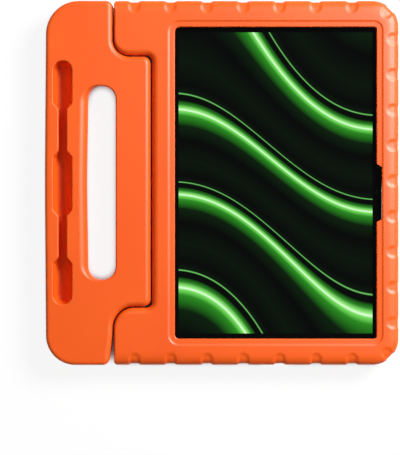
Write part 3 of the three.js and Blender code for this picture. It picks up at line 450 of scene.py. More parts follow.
def window_cutter():
    """The window with all that widens it: the edge over the screen, the band and the step."""
    z, wide = opening_steps()
    half = tablet_half[:2] - WINDOW_INSET
    places = box_corners(tablet_x - half[0], -half[1], tablet_x + half[0], half[1], 0)
    corners = [(x, y, radius) for (x, y, _), radius in zip(places, WINDOW_RADII)]
    return stack("window", corners, z, listed(z, wide), spacing=12)


def notch_cutter():
    """Notch in the right lip that clears the front camera, wider towards the screen."""
    edge = tablet_x + tablet_half[0]
    wall, inner = edge + NOTCH_PAST, edge - NOTCH_START
    low, high = NOTCH_MIDDLE - NOTCH_HALF, NOTCH_MIDDLE + NOTCH_HALF
    corners = [
        (inner, low - NOTCH_SLANT, 0.6),
        (wall, low, 1.0),
        (wall, high, 1.0),
        (inner, high + NOTCH_SLANT, 0.6),
    ]
    return stack("notch", corners, [lip_under - PAST, front_z + PAST], lambda z: [0] * 4)


print("window", (tablet_half[:2] - WINDOW_INSET) * 2)

# %% Slots, port and sound holes
KEY_SLOT, STYLUS_SLOT = (67.6, top - 25), (-104.4, 3.6)
PORT_HALF, PORT_WALL, DOOR_HALF = 10, 3.4, (6.3, 2.5)
SOUND_ROW, SOUND_PITCH, SOUND_WALL = 48.7, 7.3, 3.5
SOUND_RADII, DUCT_HALF = (2.9, 2.4, 2.15), (10.9, 1.3)
# How far a slot and a duct reach into the pocket, and a slot above it
SLOT_BITE, DUCT_BITE, ROOF_ROOM = 0.2, 0.1, 0.3
slot_roof = lip_under + ROOF_ROOM
duct_end = DUCT_BITE - pocket_half[1]


def mouth(name, corners, roof, soft=1.0):
    """Cut from the back face up to a roof, with a rim that is rounded by a quarter circle."""
    turn = np.linspace(0, math.pi / 2, 6)
    levels = np.concatenate([[-PAST], back_z + soft * (1 - np.cos(turn)), [roof]])
    wide = np.concatenate([[soft], soft * (1 - np.sin(turn)), [0]])
    return stack(name, corners, levels, listed(levels, wide))


def side_slot(name, low, high):
    """Slot in the right side from y = low to high, open to the back and to the pocket."""
    wall, outside = tablet_x + pocket_half[0] - SLOT_BITE, right + PAST
    corners = [(wall, low, 4), (outside, low, 0.5), (outside, high, 0.5), (wall, high, 4)]
    return mouth(name, corners, slot_roof)


def plain_box(name, x0, y0, z0, x1, y1, z1):
    """Upright box between its lowest and highest corner."""
    return stack(name, box_corners(x0, y0, x1, y1, 0.2), [z0, z1], lambda z: [0] * 4, spacing=50)


def port_cutters():
    """Notch for the plug in the lower edge, and the door through the foam behind it."""
    inner, outside = -pocket_half[1] - PORT_WALL, bottom - PAST
    left_x, right_x = tablet_x - PORT_HALF, tablet_x + PORT_HALF
    corners = [(left_x, outside, 0.5), (right_x, outside, 0.5), (right_x, inner, 3), (left_x, inner, 3)]
    half_x, half_z = DOOR_HALF
    low = (tablet_x - half_x, inner - 0.3, tablet_middle_z - half_z)
    return [
        mouth("port", corners, slot_roof),
        plain_box("door", *low, tablet_x + half_x, duct_end, tablet_middle_z + half_z),
    ]


def sound_cutters():
    """Two rows of four holes, each with a duct to the speaker behind it."""
    y = -pocket_half[1] - SOUND_WALL
    mouth_radius, neck_radius, radius = SOUND_RADII
    profile = [(mouth_radius, -PAST), (mouth_radius, back_z), (neck_radius, back_z + 0.2)]
    profile += [(radius, back_z + 0.7), (radius, tablet_middle_z)]
    half_x, half_z = DUCT_HALF
    cutters = []
    for row, centre in enumerate((tablet_x - SOUND_ROW, tablet_x + SOUND_ROW)):
        for i in range(4):
            cutters.append(turned(f"sound_{row}_{i}", centre + (i - 1.5) * SOUND_PITCH, y, profile, 28))
        low = (centre - half_x, y, tablet_middle_z - half_z)
        cutters.append(plain_box(f"duct_{row}", *low, centre + half_x, duct_end, tablet_middle_z + half_z))
    return cutters


# %% The lens opening, the bores and the room under the lugs
LENS_EDGE, LENS_SIZE, LENS_CORNER = (18.5, 19.6), (20.5, 32.4), 8
# How far each wall leans outwards at the back face, how deep that goes, and how it fades
LENS_FLARE, FLARE_DEPTH, FLARE_POWER = (0.8, 3.2, 6.2, 3.2), 6.5, 1.6
RELIEF_ROOM, RELIEF_INNER = 0.7, 11
PIN_BORE, PIN_BORE_DEPTH = 3.3, 26.3
lens_high = np.array([right, top]) - LENS_EDGE
lens_low = lens_high - LENS_SIZE


def lens_cutter():
    """Opening whose walls lean outwards towards the back, most of all at the top."""
    share = np.linspace(0, 1, 9)
    levels = np.concatenate([[-PAST], back_z + FLARE_DEPTH * share, [pocket_floor + 0.1]])
    lean = np.concatenate([[1], (1 - share) ** FLARE_POWER, [0]])
    corners = box_corners(*lens_low, *lens_high, LENS_CORNER)
    return stack("lens", corners, levels, listed(levels, lean, LENS_FLARE))


def relief_cutter(end):
    """Room under a lug's corner for the handle's inner corner to swing through.

    The section is the line of that corner, radius = reach - (r - sqrt(r^2 - (r - y)^2)), closed behind. It
    turns about the hinge axis, by half a turn and a little more. The part below the axis is kept, up to the
    recess.
    """
    bend, reach = LUG_CORNER[end] + SEAM, hinge_x - shoulder_x
    along = np.linspace(SEAM / 2, bend, 14)
    near = reach - (bend - np.sqrt(bend**2 - (bend - along) ** 2)) - RELIEF_ROOM
    wide = reach + PAST
    radius = np.concatenate([near, [wide, wide]])
    y = tongue_y[end] + np.concatenate([along, [bend, SEAM / 2]]) * UP[end]
    rings = []
    for angle in np.linspace(-math.pi - 0.2, 0.2, 60)[:: -UP[end]]:
        x, z = hinge_x + radius * math.cos(angle), hinge_z + radius * math.sin(angle)
        rings.append(np.column_stack([x, y, z]))
    ring = skin("relief_" + end, rings)
    room = plain_box("room", hinge_x - wide, bottom, -9, hinge_x + RELIEF_INNER, top, hinge_z)
    return carve(ring, [room], "INTERSECT")


def bores(radius, starts, depth):
    """Bore on the hinge axis at each end, from just before the foam's wall. A negative depth runs inwards."""
    made = []
    for end, start in starts.items():
        reach = (start - UP[end] * math.copysign(PAST, depth), start + UP[end] * depth)
        made.append(bar("bore_" + end, hinge_x, hinge_z, radius, *sorted(reach)))
    return made


pocket = box_corners(
    tablet_x - pocket_half[0], -pocket_half[1], tablet_x + pocket_half[0], pocket_half[1], 10
)
carve(
    case_foam,
    [
        stack("pocket", pocket, [pocket_floor, lip_under], lambda z: [0] * 4, spacing=20),
        window_cutter(),
        notch_cutter(),
        side_slot("key_slot", *KEY_SLOT),
        side_slot("stylus_slot", *STYLUS_SLOT),
        *port_cutters(),
        *sound_cutters(),
        lens_cutter(),
        relief_cutter("top"),
        relief_cutter("bottom"),
        *bores(PIN_BORE, lug_y, PIN_BORE_DEPTH),
    ],
)
shade(case_foam)
print("case_foam:", len(case_foam.data.polygons), "faces")

# %% [markdown]
# ## Pads on the back
#
# The case lies on low oval pads. They belong to the same moulding, but they are made as a mesh of their own:
# each is a small dome with a flat top, repeated in two staggered rows at each end and one row down the side.


# %% Back pads
PAD_HALF, PAD_CORNER, PAD_EDGE = (4.75, 2.8), 2.74, (0.9, 0.75)
# How far the rows lie in from the top and bottom and from the right side
OUTER_ROW, INNER_ROW, SIDE_ROW = 20.3, 32, 24
# What stays free beside the lugs, at the corners and round the middle of the lens opening
LUG_FREE, CORNER_FREE, LENS_FREE = 9.5, 45.88, (22.95, 28)


def pad_places():
    """Middles of the pads: the outer row and the one down the side lie half a pitch from the hollows."""
    across = [(x - ROW_PITCH / 2, top - OUTER_ROW) for x in hollow_x]
    across += [(x, top - INNER_ROW) for x in hollow_x]
    places = [(x, sign * y) for x, y in across if x > recess_x + LUG_FREE for sign in (1, -1)]
    side = hollow_y + SIDE_PITCH / 2
    places += [(right - SIDE_ROW, y) for y in side if abs(y) < top - CORNER_FREE]
    from_lens = abs(np.array(places) - (lens_low + lens_high) / 2)
    return [place for place, away in zip(places, from_lens) if (away > LENS_FREE).any()]


def pads():
    """All pads in one mesh. One pad is a stack of ovals that draw in towards the top, quarter-circle wise."""
    (half_x, half_y), (reach, depth) = PAD_HALF, PAD_EDGE
    turn = np.linspace(0, math.pi / 2, 6)
    levels = np.concatenate([depth * (1 - np.sin(turn))[::-1], [back_z + 0.3]])
    drawn = np.concatenate([(reach * (1 - np.cos(turn)))[::-1], [0]])
    made = []
    for i, (x, y) in enumerate(pad_places()):
        corners = box_corners(x - half_x, y - half_y, x + half_x, y + half_y, PAD_CORNER)
        made.append(stack(f"pad_{i}", corners, levels, listed(levels, -drawn)))
    with bpy.context.temp_override(active_object=made[0], selected_editable_objects=made):
        bpy.ops.object.join()
    made[0].name = made[0].data.name = "back_pads"
    return made[0]


back_pads = shade(pads(), 60)
print("back_pads:", len(back_pads.data.polygons), "faces")

# %% [markdown]
# ## The handle
#
# The handle is the second foam moulding. Its outer bar has a hand opening, deeply rounded where the fingers
# curl round it, and a slot that grips a stylus. Its tongue fits between the lugs and is round about the hinge
# axis below, so that it can swing back. It is made like the body, from an outline at each height.

# %% The handle's outline
KNUCKLE_CORNER, SHOULDER_CORNER = 6, 5.5
HANDLE_CORNER = {"top": 26, "bottom": 23}
# The outer side bulges by this much at its middle, with this radius
BULGE, BULGE_RADIUS = 1.1, 2800
# The lower shoulder leans away from the lug: how far, over what length, and the radius where it starts
LEAN, LEAN_LENGTH, LEAN_RADIUS = 3, 24, 40
# Radius of the tongue's end about the hinge axis
KNUCKLE_RADIUS = 14
HANDLE_EDGE, HANDLE_BACK_EDGE, HANDLE_POWER, HANDLE_FLAT = (4.6, 6.0), (6.0, 7.5), 4, 8.0
KNUCKLE_EDGE, SHOULDER_EDGE = (4.5, 5.0), (4.4, 4.0)

handle_outline = [
    (knuckle_x, tongue_y["bottom"], KNUCKLE_CORNER, "knuckle"),
    (knuckle_x, tongue_y["top"], KNUCKLE_CORNER, "seam"),
    (shoulder_x, tongue_y["top"], LUG_CORNER["top"] + SEAM, "shoulder"),
    (shoulder_x, top, SHOULDER_CORNER, "outer"),
    (handle_left + BULGE, top, HANDLE_CORNER["top"], "outer"),
    (handle_left, 0, BULGE_RADIUS, "outer"),
    (handle_left + BULGE, bottom, HANDLE_CORNER["bottom"], "outer"),
    (shoulder_x - LEAN, bottom, SHOULDER_CORNER, "shoulder"),
    (shoulder_x, bottom + LEAN_LENGTH, LEAN_RADIUS, "shoulder"),
    (shoulder_x, tongue_y["bottom"], LUG_CORNER["bottom"] + SEAM, "seam"),
]
handle_corners = [corner[:3] for corner in handle_outline]
handle_edges = [corner[3] for corner in handle_outline]


def handle_inset(edge, z):
    """Inset of the handle's edges along the seam at height z."""
    if edge == "knuckle":
        soft = rounded(z, handle_back - KNUCKLE_EDGE[1], front_z, KNUCKLE_EDGE, KNUCKLE_EDGE)
        return below_axis(z, KNUCKLE_RADIUS) + soft
    if edge == "shoulder":
        return rounded(z, handle_back, front_z, SHOULDER_EDGE, SHOULDER_EDGE)
    return rounded(z, handle_back, front_z, SEAM_EDGE, TONGUE_EDGE)


handle_path = rim_path(
    handle_back, front_z, HANDLE_BACK_EDGE, HANDLE_EDGE, HANDLE_FLAT, HANDLE_POWER
)
handle_rings = rim_rings(handle_corners, handle_edges, [3.0] * 10, handle_path, handle_inset)
handle_foam = skin("handle_foam", handle_rings)
print("handle_foam before cutting:", len(handle_foam.data.vertices), "points")

# %% The hand opening
GRIP_AWAY, GRIP_WIDTH, GRIP_HALF, GRIP_CORNER = 13.4, 21.6, 76, 10.58
# The side where the fingers curl round bulges a little, and is rounded more than the others
GRIP_BULGE, GRIP_BULGE_RADIUS = 1.1, 700
FINGER_EDGE, PALM_EDGE = (7.0, 8.0), (1.2, 1.6)
grip_right = hinge_x - GRIP_AWAY
grip_left = grip_right - GRIP_WIDTH


def grip_cutter():
    """Slot with round ends, whose outer wall opens wide towards both faces."""
    turn = FINGER_EDGE[1] * (1 - np.cos(np.linspace(0, math.pi / 2, 13)))
    levels = [[handle_back - PAST], handle_back + turn, (front_z - turn)[::-1], [front_z + PAST]]
    corners = box_corners(grip_left, -GRIP_HALF, grip_right, GRIP_HALF, GRIP_CORNER)
    corners.append((grip_left - GRIP_BULGE, 0, GRIP_BULGE_RADIUS))

    def widening(z):
        z = min(max(z, handle_back), front_z)
        wide = rounded(z, handle_back, front_z, FINGER_EDGE, FINGER_EDGE)
        narrow = rounded(z, handle_back, front_z, PALM_EDGE, PALM_EDGE)
        return [-narrow, -narrow, -narrow, -wide, -wide]

    return stack("grip", corners, np.concatenate(levels), widening)


print("hand opening", GRIP_WIDTH, "x", GRIP_HALF * 2)

# %% The stylus slot
STYLUS_AWAY, STYLUS_DEPTH, CHANNEL_RADIUS, CHANNEL_ENDS = 20, 13, 5, (-87.6, 88.2)
SLIT_HALF, FINGER_HALF, FINGER_TAPER = 3.05, 7.15, 5.0
# Corner radii of a finger opening: at its closed end, where it starts to narrow, and where it meets the slit
FINGER_END, FINGER_SOFT, FINGER_NECK = 7.0, 2.5, 1.25
BOWL, STYLUS_RIM = (6.6, 12.0), (1.1, 1.4)
# Upper and lower end of each finger opening, and which of them is closed
FINGER_OPENINGS = {
    "finger_top": (95.4, 57.6, "above"),
    "finger_middle": (25.2, -26, "neither"),
    "finger_bottom": (-58.1, -94.8, "below"),
}
BUSH_BORE, BUSH_BORE_DEPTH = 4.9, 24.3
stylus_x = grip_left - STYLUS_AWAY
stylus_floor = front_z - STYLUS_DEPTH
channel_z = stylus_floor + CHANNEL_RADIUS
quarter = 1 - np.cos(np.linspace(0, math.pi / 2, 9))
rim_levels = np.concatenate([(front_z - STYLUS_RIM[1] * quarter)[::-1], [front_z + PAST]])


def stylus_opening(name, high, low, closed):
    """Finger opening over the channel: a bowl with a rounded rim that narrows to the slot at an open end."""
    corners = []
    for x, y, way, end in ((1, low, 1, "below"), (-1, high, -1, "above")):
        if closed == end:
            corners += [(-x * FINGER_HALF, y, FINGER_END), (x * FINGER_HALF, y, FINGER_END)]
            continue
        start = y + way * FINGER_TAPER
        corners += [(-x * FINGER_HALF, start, FINGER_SOFT), (-x * SLIT_HALF, y, FINGER_NECK)]
        corners += [(x * SLIT_HALF, y, FINGER_NECK), (x * FINGER_HALF, start, FINGER_SOFT)]
    corners = [(stylus_x + x, y, radius) for x, y, radius in corners]

    def widening(z):
        drawn = rounded(z, stylus_floor, front_z, BOWL, SHARP)
        return [drawn - rounded(min(z, front_z), stylus_floor, front_z, SHARP, STYLUS_RIM)] * len(corners)

    return stack(name, corners, np.concatenate([stylus_floor + BOWL[1] * quarter, rim_levels]), widening)


def slit_cutter(low, high):
    """Narrow slot that the stylus is pressed through, with a rounded rim on its long sides."""
    corners = box_corners(stylus_x - SLIT_HALF, low, stylus_x + SLIT_HALF, high, 0.3)

    def widening(z):
        wide = rounded(min(z, front_z), channel_z, front_z, SHARP, STYLUS_RIM)
        return [0, -wide, 0, -wide]

    return stack("slit", corners, np.concatenate([[channel_z], rim_levels]), widening)


carve(
    handle_foam,
    [
        grip_cutter(),
        *[stylus_opening(name, *ends) for name, ends in FINGER_OPENINGS.items()],
        bar("channel", stylus_x, channel_z, CHANNEL_RADIUS, *CHANNEL_ENDS),
        slit_cutter(*CHANNEL_ENDS),
        *bores(BUSH_BORE, tongue_y, -BUSH_BORE_DEPTH),
    ],
)
shade(handle_foam)
print("handle_foam:", len(handle_foam.data.polygons), "faces")

# %% [markdown]
# ## Finishes
#
# Each finish is a shader made of nodes. Noise on the object's own coordinates gives grain and unevenness at
# real scale, so it stays put when a piece moves and needs no picture file.


# %% A finish
def tone(r, g, b):
    """Colour from 0 to 255 as it looks on a screen, turned into the linear values that a shader wants."""
    c = np.array([r, g, b]) / 255
    linear = np.where(c <= 0.04045, c / 12.92, ((c + 0.055) / 1.055) ** 2.4)
    return (*linear, 1.0)


def wire(tree, kind, **values):
    """New node of a kind, with the values of its sockets or settings."""
    node = tree.nodes.new(kind)
    for key, value in values.items():
        if key in node.inputs:
            node.inputs[key].default_value = value
        else:
            setattr(node, key, value)
    return node


def finish(name, dark, light, patch, roughness, grain, bump, metallic=0.0, specular=0.5, coat=0.0):
    """Principled shader: two near colours mixed in patches, and a fine grain in roughness and height.

    patch and grain are sizes in millimetres, bump is the grain's height in millimetres, and roughness is the
    lowest and highest value.
    """
    material = bpy.data.materials.new(name)
    material.use_nodes = True
    tree = material.node_tree
    shader = tree.nodes["Principled BSDF"]
    shader.inputs["Metallic"].default_value = metallic
    shader.inputs["Specular IOR Level"].default_value = specular
    shader.inputs["Coat Weight"].default_value = coat
    place = wire(tree, "ShaderNodeTexCoord").outputs["Object"]
    clouds = wire(tree, "ShaderNodeTexNoise", Scale=1 / (patch * MM), Detail=3.0)
    grains = wire(tree, "ShaderNodeTexNoise", Scale=1 / (grain * MM), Detail=2.0)
    tint = wire(tree, "ShaderNodeValToRGB")
    tint.color_ramp.elements[0].position, tint.color_ramp.elements[0].color = 0.3, tone(*dark)
    tint.color_ramp.elements[1].position, tint.color_ramp.elements[1].color = 0.7, tone(*light)
    rough = wire(tree, "ShaderNodeMapRange", **{"To Min": roughness[0], "To Max": roughness[1]})
    height = wire(tree, "ShaderNodeBump", Strength=1.0, Distance=bump * MM)
    tree.links.new(place, clouds.inputs["Vector"])
    tree.links.new(place, grains.inputs["Vector"])
    tree.links.new(clouds.outputs["Fac"], tint.inputs["Fac"])
    tree.links.new(tint.outputs["Color"], shader.inputs["Base Color"])
    tree.links.new(grains.outputs["Fac"], rough.inputs["Value"])
    tree.links.new(rough.outputs["Result"], shader.inputs["Roughness"])
    tree.links.new(grains.outputs["Fac"], height.inputs["Height"])
    tree.links.new(height.outputs["Normal"], shader.inputs["Normal"])
    return material


foam = finish("orange_foam", (236, 86, 6), (240, 92, 10), 60, (0.42, 0.5), 0.6, 0.012, specular=0.32)
dark_metal = finish(
    "dark_anodised", (40, 42, 46), (50, 52, 56), 20, (0.34, 0.46), 0.15, 0.004, metallic=0.85
)
grey_metal = finish(
    "grey_anodised", (112, 113, 118), (124, 125, 130), 20, (0.3, 0.42), 0.15, 0.004, metallic=0.7
)
steel = finish(
    "turned_steel", (132, 134, 137), (150, 152, 155), 8, (0.42, 0.56), 0.2, 0.004, metallic=1.0
)
nylon = finish("natural_nylon", (226, 223, 214), (236, 233, 226), 12, (0.42, 0.55), 0.4, 0.01)
foil = finish("cell_foil", (150, 152, 158), (166, 168, 174), 14, (0.28, 0.5), 2.4, 0.05, metallic=0.6)
board = finish("bare_board", (24, 84, 54), (34, 98, 64), 9, (0.4, 0.6), 1.2, 0.03)
black_plastic = finish("black_plastic", (18, 19, 20), (28, 29, 31), 10, (0.42, 0.56), 0.3, 0.008)
lens_glass = finish("lens_glass", (6, 7, 10), (14, 15, 22), 3, (0.04, 0.08), 0.5, 0.0005, coat=1.0)
print("finishes:", ", ".join(material.name for material in bpy.data.materials))

# %% [markdown]
# ## The screen
#
# Glass, black border and lit display are laminated, so they look like one sheet: black, very smooth, with
# light coming out of the middle. The picture is a plain design: broad green bands wave across a black ground,
# each with a pale crest, a soft glow on one side and a fine line on the other. A band's phase is worked out
# from the place on the glass, and a colour ramp turns the phase into light.


# %% The lit glass
# How far the display ends inside the tablet's edge, and how many picture units a millimetre is
BORDER, PICTURE_SCALE = (7.2, 9.0), 0.01
# The front camera's rings go by the distance from its middle in millimetres, times this
CAMERA_SCALE = 0.25
BAND_COLOURS = [
    (0.0, (3, 18, 3)),
    (0.24, (0, 0, 0)),
    (0.4, (5, 30, 5)),
    (0.51, (40, 138, 30)),
    (0.555, (120, 228, 96)),
    (0.568, (236, 255, 230)),
    (0.582, (150, 242, 126)),
    (0.62, (40, 132, 30)),
    (0.66, (0, 6, 0)),
    (0.715, (0, 2, 0)),
    (0.724, (120, 220, 108)),
    (0.733, (4, 22, 4)),
    (0.8, (0, 2, 0)),
    (1.0, (3, 18, 3)),
]
CAMERA_COLOURS = [
    (0.0, (30, 38, 74)),
    (0.16, (12, 16, 34)),
    (0.3, (5, 5, 8)),
    (0.36, (38, 39, 42)),
    (0.42, (3, 3, 4)),
]


def operate(tree, operation, a, b=0.0):
    """Maths on two values, each a socket or a plain number."""
    node = wire(tree, "ShaderNodeMath", operation=operation)
    for socket, value in zip(node.inputs, (a, b)):
        if isinstance(value, (int, float)):
            socket.default_value = value
        else:
            tree.links.new(value, socket)
    return node.outputs[0]


def colour_steps(tree, value, stops):
    """Colour ramp over a value, with stops of (position, colour)."""
    ramp = wire(tree, "ShaderNodeValToRGB")
    for i, (position, colour) in enumerate(stops):
        stop = ramp.color_ramp.elements[i] if i < 2 else ramp.color_ramp.elements.new(position)
        stop.position, stop.color = position, tone(*colour)
    tree.links.new(value, ramp.inputs["Fac"])
    return ramp.outputs["Color"]


def place_on_glass(tree, x, y, scale):
    """Place on the glass from a point (x, y) in millimetres, times scale: two sockets."""
    position = wire(tree, "ShaderNodeTexCoord").outputs["Object"]
    shift = wire(tree, "ShaderNodeMapping", Location=(-x * scale, -y * scale, 0), Scale=[scale / MM] * 3)
    split = wire(tree, "ShaderNodeSeparateXYZ")
    tree.links.new(position, shift.inputs["Vector"])
    tree.links.new(shift.outputs["Vector"], split.inputs[0])
    return split.outputs["X"], split.outputs["Y"]


def ribbons(tree, u, v):
    """Picture: the phase v + u / 2, bent by two sine waves, repeats as a band with a bright crest."""
    bend = operate(tree, "MULTIPLY", operate(tree, "SINE", operate(tree, "MULTIPLY", u, 2.9)), 0.24)
    drift = operate(tree, "MULTIPLY", operate(tree, "SINE", operate(tree, "MULTIPLY", v, 1.9)), 0.26)
    lean = operate(tree, "MULTIPLY", u, 0.5)
    phase = operate(tree, "ADD", operate(tree, "ADD", v, lean), operate(tree, "ADD", bend, drift))
    band = operate(tree, "FRACT", operate(tree, "ADD", operate(tree, "MULTIPLY", phase, 1.06), 7.32))
    return colour_steps(tree, band, BAND_COLOURS)


def screen_glass():
    """Black glossy glass that gives off the picture inside the display's edge, and shows the front camera."""
    material = bpy.data.materials.new("lit_glass")
    material.use_nodes = True
    tree = material.node_tree
    shader = tree.nodes["Principled BSDF"]
    shader.inputs["Roughness"].default_value = 0.05
    shader.inputs["Specular IOR Level"].default_value = 0.16
    shader.inputs["Emission Strength"].default_value = 1.0
    u, v = place_on_glass(tree, tablet_x, 0, PICTURE_SCALE)
    lit = (tablet_half[:2] - BORDER) * PICTURE_SCALE
    inside_u = operate(tree, "LESS_THAN", operate(tree, "ABSOLUTE", u), float(lit[0]))
    inside_v = operate(tree, "LESS_THAN", operate(tree, "ABSOLUTE", v), float(lit[1]))
    mask = wire(tree, "ShaderNodeMix", data_type="RGBA")
    mask.inputs[6].default_value = (0, 0, 0, 1)
    tree.links.new(operate(tree, "MULTIPLY", inside_u, inside_v), mask.inputs["Factor"])
    tree.links.new(ribbons(tree, u, v), mask.inputs[7])
    tree.links.new(mask.outputs[2], shader.inputs["Emission Color"])
    camera_low, camera_high = span("front_camera")
    dot = place_on_glass(tree, *((camera_low + camera_high) / 2)[:2], CAMERA_SCALE)
    squares = [operate(tree, "MULTIPLY", side, side) for side in dot]
    away = operate(tree, "SQRT", operate(tree, "ADD", *squares))
    tree.links.new(colour_steps(tree, away, CAMERA_COLOURS), shader.inputs["Base Color"])
    return material


lit_glass = screen_glass()
print("lit glass:", len(lit_glass.node_tree.nodes), "nodes")

# %% [markdown]
# ## The camera on the back
#
# Through the opening in the foam one sees a metal plate with a large lens and a smaller glass disc. The lens
# is turned: a flat bezel with rounded edges, a groove, and a glass that bulges a little.


# %% Plate, lens and disc
PLATE_CORNER, PLATE_EDGE = 7.6, 0.35
# Share of a disc's radius that is glass, and the rounding of its bezel
GLASS_SHARE, BEZEL_EDGE = 0.62, 0.25


def lens_plate():
    """Plate with round corners and a rounded edge towards the back."""
    low, high = span("rear_lens_plate")
    turn = 1 - np.cos(np.linspace(0, math.pi / 2, 6))
    levels = low[2] + np.concatenate([PLATE_EDGE * turn, [high[2] - low[2]]])
    corners = box_corners(low[0], low[1], high[0], high[1], PLATE_CORNER)
    soft = lambda z: [rounded(z, low[2], high[2], (PLATE_EDGE, PLATE_EDGE), SHARP)] * 4
    return stack("lens_plate", corners, levels, soft)


def glass_disc(name, node, bulge):
    """Turned disc that faces the back: glass with a low bulge, a groove round it, and a rounded bezel."""
    low, high = span(node)
    radius, thick = (high[0] - low[0]) / 2, high[2] - low[2]
    share = np.linspace(0.02, 1, 10)
    glass_edge, flat_edge = radius * GLASS_SHARE, radius - BEZEL_EDGE
    profile = [(glass_edge * s, low[2] + thick * (0.25 + bulge * s * s)) for s in share]
    profile += [(glass_edge + 0.15, low[2] + thick * 0.75), (glass_edge + 0.35, low[2] + thick * 0.2)]
    profile += [(glass_edge + 0.5, low[2]), (flat_edge, low[2])]
    for turn in np.linspace(0, math.pi / 2, 6)[1:]:
        profile.append((flat_edge + BEZEL_EDGE * math.sin(turn), low[2] + BEZEL_EDGE * (1 - math.cos(turn))))
    profile.append((radius, high[2]))
    return turned(name, (low[0] + high[0]) / 2, (low[1] + high[1]) / 2, profile)


plate = shade(lens_plate())
lens = shade(glass_disc("lens_disc", "rear_lens", 0.3), 50)
sensor = shade(glass_disc("sensor_disc", "rear_sensor", 0.1), 50)
print("faces of plate, lens and disc:", [len(piece.data.polygons) for piece in (plate, lens, sensor)])

# %% [markdown]
# ## Joining the pieces to the frame
#
# A new piece rides on the CAD body that it belongs to, and stands for the CAD nodes that it replaces. The
# other nodes are shown as they are, and only get a finish.

# %% Riding, replacing and finishes
pieces = [
    (case_foam, "case", ["case_shell"], foam, "foam"),
    (back_pads, "case", [], foam, "foam"),
    (handle_foam, "handle", ["handle"], foam, "foam"),
    (plate, "case", ["rear_lens_plate"], grey_metal, "lens_plate"),
    (lens, "case", ["rear_lens"], lens_glass, "lens_glass"),
    (sensor, "case", ["rear_sensor"], lens_glass, "lens_glass"),
]
for piece, body, nodes, material, slot in pieces:
    piece.data.materials.clear()
    piece.data.materials.append(material)
    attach(piece, body)
    if nodes:
        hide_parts(*nodes)

speakers = [f"speaker_{end}_{side}" for end in ("bottom", "top") for side in ("left", "right")]
finishes = [
    (lit_glass, ["cover_glass"]),
    (dark_metal, ["tablet_housing", "power_button", "volume_up_button", "volume_down_button"]),
    (black_plastic, ["display_panel", "rear_lens_module", "front_camera", "stylus_charge_strip"]),
    (black_plastic, speakers),
    (foil, ["battery_cell_left", "battery_cell_right"]),
    (board, ["logic_board", "switch_strip"]),
    (steel, ["usb_receptacle", "hinge_pin_top", "hinge_pin_bottom"]),
    (nylon, ["handle_bush_top", "handle_bush_bottom"]),
]
for material, names in finishes:
    for name in names:
        node = frame["nodes"][name]
        node.data.materials.clear()
        node.data.materials.append(material)
print(len(pieces), "pieces made here,", sum(len(names) for _, names in finishes), "nodes shown as they are")

# %% [markdown]
# ## Floor, light and camera
#
# The case lies on a pale floor and is looked at from straight above. A soft lamp at the upper right makes
# the edges that face it brighter, and the world gives an even light from all round. A second lamp, nearer, is
# seen only in reflections: it gives the foam on that side its pale sheen. The camera stands far off with a
# long lens, because the photograph shows almost no perspective.

# %% The floor
# FLOOR_SHADE is how near in millimetres something must lie for the painted shade to take the floor's glow
# away
FLOOR_HALF, FLOOR_THICKNESS, FLOOR_SHADE = 2000, 5, 8
floor_corners = np.array([(-1, -1), (1, -1), (1, 1), (-1, 1)]) * FLOOR_HALF
floor = skin("floor", [np.insert(floor_corners, 2, z, axis=1) for z in (-FLOOR_THICKNESS, 0)])


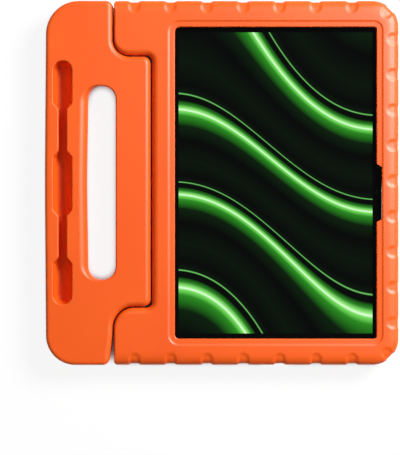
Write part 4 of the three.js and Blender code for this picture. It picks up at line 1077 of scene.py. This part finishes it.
def pale_floor():
    """Matt white floor that looks white in the picture. It keeps the case's real shadow, and has painted
    shade under the case and in the seam.

    Seen directly or in a reflection it glows, except where something lies within FLOOR_SHADE of it. There
    ambient occlusion takes the glow away, and that darkening is painted shade.
    """
    material = finish("pale_floor", (243, 243, 242), (247, 247, 246), 400, (0.7, 0.8), 3.0, 0.0, specular=0.1)
    tree = material.node_tree
    glow = wire(tree, "ShaderNodeEmission", Color=(1, 1, 1, 1), Strength=1.0)
    mix = wire(tree, "ShaderNodeMixShader")
    path = wire(tree, "ShaderNodeLightPath").outputs
    seen = operate(tree, "MAXIMUM", path["Is Camera Ray"], path["Is Glossy Ray"])
    seen = operate(tree, "MAXIMUM", seen, path["Is Transmission Ray"])
    # Painted shade: ambient occlusion takes the glow away near the case, under it and in the seam
    cover = wire(tree, "ShaderNodeAmbientOcclusion", Distance=FLOOR_SHADE * MM)
    glow_outside_painted_shade = wire(tree, "ShaderNodeMapRange", **{"From Min": 0.3, "From Max": 0.85, "To Max": 0.9})
    glow_outside_painted_shade.interpolation_type = "SMOOTHSTEP"
    tree.links.new(cover.outputs["AO"], glow_outside_painted_shade.inputs["Value"])
    tree.links.new(operate(tree, "MULTIPLY", seen, glow_outside_painted_shade.outputs["Result"]), mix.inputs["Fac"])
    tree.links.new(tree.nodes["Principled BSDF"].outputs["BSDF"], mix.inputs[1])
    tree.links.new(glow.outputs["Emission"], mix.inputs[2])
    tree.links.new(mix.outputs["Shader"], tree.nodes["Material Output"].inputs["Surface"])
    return material


floor.data.materials.append(pale_floor())
print("floor", FLOOR_HALF * 2, "mm wide")

# %% The light
world = bpy.data.worlds.new("studio")
world.use_nodes = True
world.node_tree.nodes["Background"].inputs["Color"].default_value = (1, 1, 1, 1)
world.node_tree.nodes["Background"].inputs["Strength"].default_value = 0.19
bpy.context.scene.world = world


def softbox(name, watts, place, size):
    """Square lamp at a place in metres, turned towards the middle of the case."""
    lamp = bpy.data.lights.new(name, "AREA")
    lamp.energy = watts
    lamp.size = size
    box = bpy.data.objects.new(name, lamp)
    box.location = place
    box.rotation_euler = Vector(place).to_track_quat("Z", "Y").to_euler()
    bpy.context.scene.collection.objects.link(box)
    return box


softbox("key", 74, (1.3, 0.95, 1.35), 0.8)
sheen = softbox("sheen", 8.0, (0.36, 0.2, 0.48), 0.2)
sheen.visible_diffuse = False
print("lamps:", ", ".join(lamp.name for lamp in bpy.data.lights))

# %% The camera
# The photograph's size in pixels, its scale at SHARP_HEIGHT, and the pixel that shows the middle of the case
PHOTO_WIDTH, PHOTO_HEIGHT = 400, 455
PIXELS_PER_MM = 1.2746
CENTRE_PIXEL = (221.6, 182.9)
SENSOR, CAMERA_DISTANCE, SHARP_HEIGHT = 36, 2500.0, 15.0
lens_mm = PIXELS_PER_MM * CAMERA_DISTANCE * SENSOR / PHOTO_HEIGHT
view = bpy.data.cameras.new("view")
view.lens = lens_mm
view.sensor_width = SENSOR
view.clip_end = 20
view.shift_x = (PHOTO_WIDTH / 2 - CENTRE_PIXEL[0]) / PHOTO_HEIGHT
view.shift_y = (CENTRE_PIXEL[1] - PHOTO_HEIGHT / 2) / PHOTO_HEIGHT
eye = bpy.data.objects.new("view", view)
eye.location = (0, 0, (SHARP_HEIGHT + CAMERA_DISTANCE) * MM)
bpy.context.scene.collection.objects.link(eye)
bpy.context.scene.camera = eye
bpy.context.scene.view_settings.view_transform = "Standard"
print("camera lens", round(lens_mm, 1), "mm")
